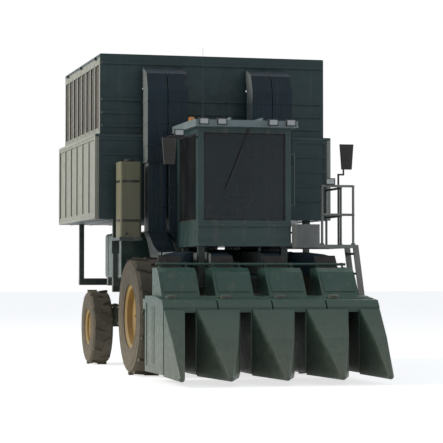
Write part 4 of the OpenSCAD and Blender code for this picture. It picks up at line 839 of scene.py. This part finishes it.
# Lamps: a clear glass lens with moulded ribs, in a black pressed housing with a rim round the lens. Four sit on
# the roof's front, one on the right mirror's arm and one on the handrail. Columns: X, back, foot
lamp_places = [(-0.68, -1.9903, 3.815), (-0.40, -1.9903, 3.815), (0.40, -1.9903, 3.815), (0.68, -1.9903, 3.815),
               (-1.01, -1.76, 3.6543), (1.35, -1.84, 2.9393)]
lamp_half, lamp_tall, rim_wide, lens_ribs, lens_pitch = 0.075, 0.10, 0.012, 9, 0.014
rim_bars = [(-lamp_half, 0, lamp_half, rim_wide), (-lamp_half, lamp_tall - rim_wide, lamp_half, lamp_tall),
            (-lamp_half, 0, rim_wide - lamp_half, lamp_tall), (lamp_half - rim_wide, 0, lamp_half, lamp_tall)]
rims, lenses = Piece(), Piece()
for x, back, low in lamp_places:
    front = back - 0.04
    for left, foot, right, head in rim_bars:
        rims.box((x + left, front - 0.006, low + foot), (x + right, front + 0.02, low + head), 0.002)
    rims.box((x - lamp_half, back - 0.022, low + 0.001), (x + lamp_half, back - 0.001, low + 0.101), 0.004)
    for k in range(lens_ribs):
        rib = x + lens_pitch * (k - (lens_ribs - 1) / 2)
        lenses.rod((rib, front, low + 0.014), (rib, front, low + 0.086), 0.004, 8)
rims.done("lamp_housings", black_metal, "chassis", "black_metal")
lenses.done("lamp_ribs", lens, "chassis", "lamp_lens")

# Beacon: an amber plastic lens with upright flutes moulded round it and a domed top, screwed to its base on the
# roof's right rear corner.
beacon_x, beacon_y, flute_circle, flute_count = -0.56, -0.69, 0.047, 16
flutes = Piece()
for k in range(flute_count):
    angle = 2 * math.pi * k / flute_count
    x, y = beacon_x + flute_circle * math.cos(angle), beacon_y + flute_circle * math.sin(angle)
    flutes.rod((x, y, 3.935), (x, y, 4.015), 0.005, 6)
flutes.turned((beacon_x, beacon_y, 4.024), (0, 0, 1), [(0.048, 0), (0.04, 0.012), (0.02, 0.018), (0, 0.019)], 32)
flutes.done("beacon_flutes", amber, "chassis", "beacon_lens")


# Ducts: four tubes that carry the cotton from the row units, under and beside the cab, and up the basket's
# front. They are folded from thin sheet steel, painted outside, and bolted together by flanges; the upper sleeves
# slide over the risers as the basket rises. Their dark blue-green is partly paint and partly painted shade with a
# painted reflection of the blue sky in it, and the pale colour on their flank faces is painted sunlight on the
# faces that look sideways.
duct_paint = weathered("duct_paint", (0.005, 0.016, 0.027), (0.009, 0.025, 0.038), dust=0.2, specular=0.2,
                      sunlit_flanks=(0.2, 0.225, 0.22))
dress(duct_paint, "ducts_lower", "duct_elbows", "duct_risers", "ducts_upper")


# Duct bolts: steel bolts through the three flanges of each duct, and flat strips of sheet welded over the seam
# down the front of each riser and across it. Columns of a duct: X at the row, under the cab, and beside it
duct_y = -0.161
duct_rows = [(side * row, side * under, side * beside) for side in (-1, 1)
             for row, under, beside in ((1.215, 0.905, 1.03), (0.405, 0.405, 0.69))]
riser_flange, elbow_flange, outlet_flange = 2.2275, (-0.6735, 1.74), (-1.9875, 1.665)
riser_half = 0.1455
duct_bolts = Piece()
for row, under, beside in duct_rows:
    for dx in (-0.155, -0.052, 0.052, 0.155):
        for dy in (-0.175, 0.175):
            duct_bolts.bolt((beside + dx, duct_y + dy, riser_flange), (0, 0, -1), 0.006, 0.006)
            duct_bolts.bolt((under + dx, elbow_flange[0], elbow_flange[1] + dy), (0, -1, 0), 0.006, 0.006)
            duct_bolts.bolt((row + dx, outlet_flange[0], outlet_flange[1] + dy), (0, 1, 0), 0.006, 0.006)
    duct_bolts.box((beside - 0.012, duct_y - 0.169, 2.30), (beside + 0.012, duct_y - 0.164, 3.33), 0.001)
    for z in (2.62, 2.98):
        duct_bolts.box((beside - riser_half, duct_y - 0.167, z), (beside + riser_half, duct_y - 0.164, z + 0.03),
                       0.001)
duct_bolts.done("duct_bolts", duct_paint, "chassis", "duct_paint")

# Sleeve bands: flat steel bands round three sides of each sleeve, with two bolts in the front of each, and the
# strip over the sleeve's seam. They ride up and down with the sleeves.
sleeve_half, sleeve_front, sleeve_rear, band_tall = 0.160, -0.180, 0.181, 0.028
band_out, band_front = sleeve_half + 0.005, sleeve_front - 0.005
sleeves = Piece()
for row, under, beside in duct_rows:
    for z in (3.60, 3.95, 4.30):
        top = z + band_tall
        sleeves.box((beside - band_out, duct_y + band_front, z), (beside + band_out, duct_y + sleeve_front, top),
                    0.001)
        for side in (-1, 1):
            sleeves.box((beside + side * sleeve_half, duct_y + band_front, z),
                        (beside + side * band_out, duct_y + sleeve_rear, top), 0.001)
            sleeves.bolt((beside + side * 0.12, duct_y + band_front, z + 0.014), (0, -1, 0), 0.006, 0.005)
    sleeves.box((beside - 0.012, duct_y - 0.1835, 3.37), (beside + 0.012, duct_y - 0.178, 4.40), 0.001)
sleeves.done("sleeve_bands", duct_paint, "duct_tops", "duct_paint")

# Outlet boots: black rubber bellows, moulded with square folds, between the row units' outlets and the ducts.
folds, fold_deep = 9, 0.016
unit_end, duct_end = Vector((0, -2.146, 1.50)), Vector((0, -2.004, 1.665))
boot_half, boot_half_tall, boot_opens = 0.150, 0.146, 0.019
boots = bmesh.new()
for row, under, beside in duct_rows:
    rings = []
    for k in range(2 * folds + 1):
        share = k / (2 * folds)
        middle, grown = unit_end.lerp(duct_end, share), fold_deep if k % 2 else 0.0
        wide, tall = boot_half + grown, boot_half_tall + boot_opens * share + grown
        rings.append([boots.verts.new((row + a * wide, middle.y, middle.z + b * tall))
                      for a, b in ((-1, -1), (1, -1), (1, 1), (-1, 1))])
    for near, far in zip(rings, rings[1:]):
        for k in range(4):
            boots.faces.new([near[k], near[(k + 1) % 4], far[(k + 1) % 4], far[k]])
boots_mesh = bpy.data.meshes.new("outlet_boots")
bmesh.ops.recalc_face_normals(boots, faces=boots.faces)
boots.to_mesh(boots_mesh)
boots.free()
boots_mesh.materials.append(rubber)
boots_piece = bpy.data.objects.new("outlet_boots", boots_mesh)
bpy.context.scene.collection.objects.link(boots_piece)
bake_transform(boots_piece)


# Basket: a lower box of pressed sheet steel, and an upper one with windows that slides up out of it, under a
# grate for a lid. Front and rear are painted dark green; cylinders of steel raise and dump it. The pale colour on
# its faces that look sideways is partly pale side sheet and partly painted sunlight on the sides.
basket_paint = weathered("basket_paint", (0.009, 0.032, 0.038), (0.014, 0.042, 0.048), dust=0.25, streaks=0.35)
# Painted sunlight: the pale colour on the sections' sideways faces stands partly for the sun on the sides and partly
# for pale sheet.
sides_pale_and_sunlit = weathered("basket_side_paint", (0.009, 0.032, 0.038), (0.014, 0.042, 0.048), dust=0.25, streaks=0.35,
                       sunlit_flanks=(0.3, 0.31, 0.255))
basket_side = weathered("basket_trim_paint", (0.34, 0.35, 0.295), (0.32, 0.33, 0.28), dust=0.3)
dress(sides_pale_and_sunlit, "basket_lower", "basket_upper")
dress(basket_paint, "basket_lid")
bright_rod = weathered("bright_rod", (0.62, 0.63, 0.65), (0.55, 0.55, 0.56), dust=0.15, rough=(0.1, 0.25),
                       metallic=1.0)
dress(black_metal, "raise_barrels", "dump_barrels", "lift_barrels")
dress(bright_rod, "raise_rods", "dump_rods", "lift_rods")


# Corner angles of the lower section: folded steel, painted pale with the sides, with a stiff lip along the top
# and foot of each side. Round-headed rivets hold them and the pressed side panels.
basket_half, front_y, rear_y, basket_foot, basket_top_z = 1.96, 0.06, 3.66, 2.452, 3.808
panel_seams, seam_pitch = 7, 0.58
dome = [(0.0085, -0.001), (0.0075, 0.0035), (0.004, 0.0055), (0, 0.006)]
side_angles = Piece()
for side in (-1, 1):
    for k in range(panel_seams):
        y = 0.12 + seam_pitch * k + (0.01 if k == panel_seams - 1 else 0)
        for z in [2.50 + 0.125 * r for r in range(11)]:
            side_angles.turned((side * basket_half, y, z), (side, 0, 0), dome, 10)
    for y, out in ((front_y, -1), (rear_y, 1)):
        face = y + out * 0.004
        side_angles.box((side * 1.956, y - 0.002 * out, basket_foot), (side * 1.966, y - out * 0.055, basket_top_z),
                        0.001)
        side_angles.box((side * 1.966, face, basket_foot), (side * 1.90, y, basket_top_z), 0.001)
        for z in [2.52 + 0.2 * r for r in range(7)]:
            side_angles.turned((side * 1.93, face, z), (0, out, 0), dome, 10)
    for z in (2.452, 3.765):
        side_angles.box((side * 1.9595, 0.10, z), (side * 1.968, 3.62, z + 0.04), 0.002)
side_angles.done("basket_angles", basket_side, "basket", "basket_paint")

# Seams of the lower section: rows of rivets between the grooves pressed in its front and rear, a folded lip
# along the top of each, and flat steel straps under the floor, all in the basket's green.
rivet_rows, rivets, rivet_pitch, floor_straps, strap_pitch = 6, 19, 0.2, 11, 0.35
seams = Piece()
for y, out in ((front_y, -1), (rear_y, 1)):
    for row in range(rivet_rows):
        z = 2.535 + 0.24 * row if row else 2.51
        for k in range(rivets):
            seams.turned((-1.80 + rivet_pitch * k, y, z), (0, out, 0), dome, 10)
    seams.box((-1.955, y, 3.765), (1.955, y + out * 0.008, 3.805), 0.002)
for k in range(floor_straps):
    x = -1.75 + strap_pitch * k
    seams.box((x - 0.02, 0.10, 2.4425), (x + 0.02, 3.62, 2.4515), 0.001)
seams.done("basket_seams", basket_paint, "basket", "basket_paint")


# Wire cloth of the basket's windows: dull steel wire woven at 22 mm, which lets the air out and keeps the cotton
# in. Pale flat strips hold it along the top and foot of each window, and rivets run up the sides between them.
def woven(piece, axis, place, across, up, pitch=0.022, radius=0.0022):
    """Woven wire cloth that fills an opening: one set of wires up, the other across and just behind."""
    def at(a, b, off):
        return {0: (place + off, a, b), 1: (a, place + off, b), 2: (a, b, place + off)}[axis]
    for k in range(1, int((across[1] - across[0]) / pitch)):
        a = across[0] + k * pitch
        piece.rod(at(a, up[0] - 0.004, radius), at(a, up[1] + 0.004, radius), radius, 4)
    for k in range(1, int((up[1] - up[0]) / pitch)):
        b = up[0] + k * pitch
        piece.rod(at(across[0] - 0.004, b, -radius), at(across[1] + 0.004, b, -radius), radius, 4)


window_pitch, side_windows, rear_windows, rear_pitch = 0.415, 8, 7, 0.5
window_foot, window_head, strip_heights, strip_tall = 3.92, 4.93, (3.895, 4.935), 0.020
cloth_wires, strips = Piece(), Piece()
for side in (-1, 1):
    for i in range(side_windows):
        y = 0.20 + window_pitch * (i + 0.5)
        woven(cloth_wires, 0, side * 1.8535, (y - 0.1725, y + 0.1725), (window_foot, window_head))
        for z in strip_heights:
            strips.box((side * 1.8695, y - 0.185, z), (side * 1.875, y + 0.185, z + strip_tall), 0.001)
    for i in range(side_windows + 1):
        y = 0.20 + window_pitch * i
        for z in [3.88 + 0.121 * r for r in range(10)]:
            strips.turned((side * 1.87, y, z), (side, 0, 0), dome, 10)
for k in range(rear_windows):
    x = -1.5 + rear_pitch * k
    woven(cloth_wires, 1, 3.5535, (x - 0.2, x + 0.2), (window_foot, window_head))
    for z in strip_heights:
        strips.box((x - 0.215, 3.569, z), (x + 0.215, 3.575, z + strip_tall), 0.001)

# Front rivets of the upper section: round heads of steel, in four rows between its welded ribs, painted over
# with the sheet that they hold.
front_rivets = Piece()
for k in range(10):
    for z in (4.02, 4.24, 4.50, 4.78):
        front_rivets.turned((-1.80 + 0.4 * k, 0.15, z), (0, -1, 0), dome, 10)
front_rivets.done("basket_front_rivets", basket_paint, "basket_top", "basket_paint")
wire_steel = weathered("wire_steel", (0.3, 0.28, 0.25), (0.24, 0.22, 0.2), dust=0.5, rough=(0.5, 0.7), metallic=0.2)
cloth_wires.done("basket_wires", wire_steel, "basket_top", "deck_steel")
strips.done("basket_strips", basket_side, "basket_top", "basket_paint")

# Lid: the same wire cloth, woven at 30 mm and welded into the openings of the grate, with five flat stiffeners
# of steel across the top in the basket's green.
lid_columns, column_pitch, lid_rows, lid_row_pitch = 12, 0.30333, 4, 0.83
stiffener_half = 1.86
lid_wires = Piece()
for i in range(lid_columns):
    x = -1.81 + column_pitch * i
    for j in range(lid_rows):
        y = 0.21 + lid_row_pitch * j
        woven(lid_wires, 2, 5.075, (x, x + 0.2833), (y, y + 0.81), 0.03)
lid_wires.done("lid_wires", wire_steel, "lid", "deck_steel")
lid_edges = Piece()
for y in (0.155, 1.03, 1.86, 2.69, 3.565):
    lid_edges.box((-stiffener_half, y - 0.012, 5.0995), (stiffener_half, y + 0.012, 5.106), 0.002)
lid_edges.done("lid_edges", basket_paint, "lid", "basket_paint")

# Glands of the raise cylinders: turned steel collars screwed into the barrels' mouths, in which the chromed rods
# slide.
gland = [(0.0455, 0), (0.052, 0.005), (0.052, 0.07), (0.046, 0.079), (0.031, 0.083)]
glands = Piece()
for y in (0.26, 3.46):
    glands.turned((0, y, 3.70), (0, 0, 1), gland, 28)
glands.done("raise_glands", black_metal, "basket", "black_metal")


# Header: a toolbar of box section with four row units of green sheet steel hung on it, and five long pointed
# dividers, pressed and welded, that part the rows. The picking drums inside are bare steel with spindle rings.
header_paint = weathered("header_paint", (0.013, 0.06, 0.047), (0.022, 0.078, 0.06), dust=0.4, low_dust=1.6, coat=0.1)
dress(header_paint, "header_bar", "row_units", "dividers")
drum_steel = weathered("drum_steel", (0.3, 0.3, 0.29), (0.22, 0.21, 0.2), dust=0.4, rough=(0.3, 0.55), metallic=0.9)
dress(drum_steel, "drum_1", "drum_2", "drum_3", "drum_4")


# Row units' fittings: screwed side plates, a pressed plate with four bolts over each outlet, and two catches on
# each hood. They are steel, painted green with the units.
row_middles = [-1.215, -0.405, 0.405, 1.215]
unit_half, plate_front, plate_rear, plate_foot, plate_head = 0.387, -2.80, -2.27, 0.27, 1.10
screw = [(0.008, -0.001), (0.006, 0.003), (0, 0.0035)]
unit_bits = Piece()
for row in row_middles:
    for side in (-1, 1):
        face = row + side * unit_half
        plate_face = face + side * 0.003
        unit_bits.box((face, plate_front, plate_foot), (plate_face, plate_rear, plate_head), 0.001)
        for y in (plate_front + 0.025, plate_rear - 0.025, (plate_front + plate_rear) / 2):
            for z in (plate_foot + 0.03, plate_head - 0.03):
                unit_bits.turned((plate_face, y, z), (side, 0, 0), screw, 10)
    unit_bits.box((row - 0.22, -2.40, 1.6605), (row + 0.22, -2.20, 1.668), 0.002)
    for x in (row - 0.19, row + 0.19):
        for y in (-2.37, -2.30):
            unit_bits.bolt((x, y, 1.668), (0, 0, 1), 0.008, 0.006)
    for x in (row - 0.17, row + 0.17):
        unit_bits.box((x - 0.016, -3.406, 0.93), (x + 0.016, -3.40, 1.02), 0.002)
        unit_bits.box((x - 0.010, -3.414, 0.945), (x + 0.010, -3.404, 0.975), 0.002)
unit_bits.done("unit_fittings", header_paint, "header", "green_paint")

# Header bolts: steel bolts in two rows along the toolbar, a cast cover with six bolts over each drum's gearbox,
# and collars where the header's top rail meets its posts.
toolbar_face, cover_y, cover_z, cover_bolts, cover_circle = -1.998, -3.07, 1.215, 6, 0.07
gearbox_cover = [(0.085, 0), (0.085, 0.035), (0.06, 0.05), (0.03, 0.055), (0, 0.055)]
rail_collar = [(0.018, 0), (0.027, 0.005), (0.027, 0.04), (0.018, 0.045)]
header_bolts = Piece()
for row in row_middles:
    for x in (row - 0.30, row - 0.15, row + 0.15, row + 0.30):
        for z in (1.085, 1.165):
            header_bolts.bolt((x, toolbar_face, z), (0, 1, 0), 0.012)
    drum_x = row - 0.205
    header_bolts.turned((drum_x, cover_y, cover_z), (0, 0, 1), gearbox_cover, 32)
    for k in range(cover_bolts):
        angle = 2 * math.pi * k / cover_bolts
        header_bolts.bolt((drum_x + cover_circle * math.cos(angle), cover_y + cover_circle * math.sin(angle),
                           cover_z + 0.034), (0, 0, 1), 0.006, 0.005)
for x in (-1.405, -1.015, -0.605, -0.205, 0.205, 0.605, 1.015, 1.405):
    header_bolts.turned((x, -2.24, 1.6935), (0, 0, 1), rail_collar, 16)
header_bolts.done("header_bolts", chassis_paint, "header", "chassis_paint")
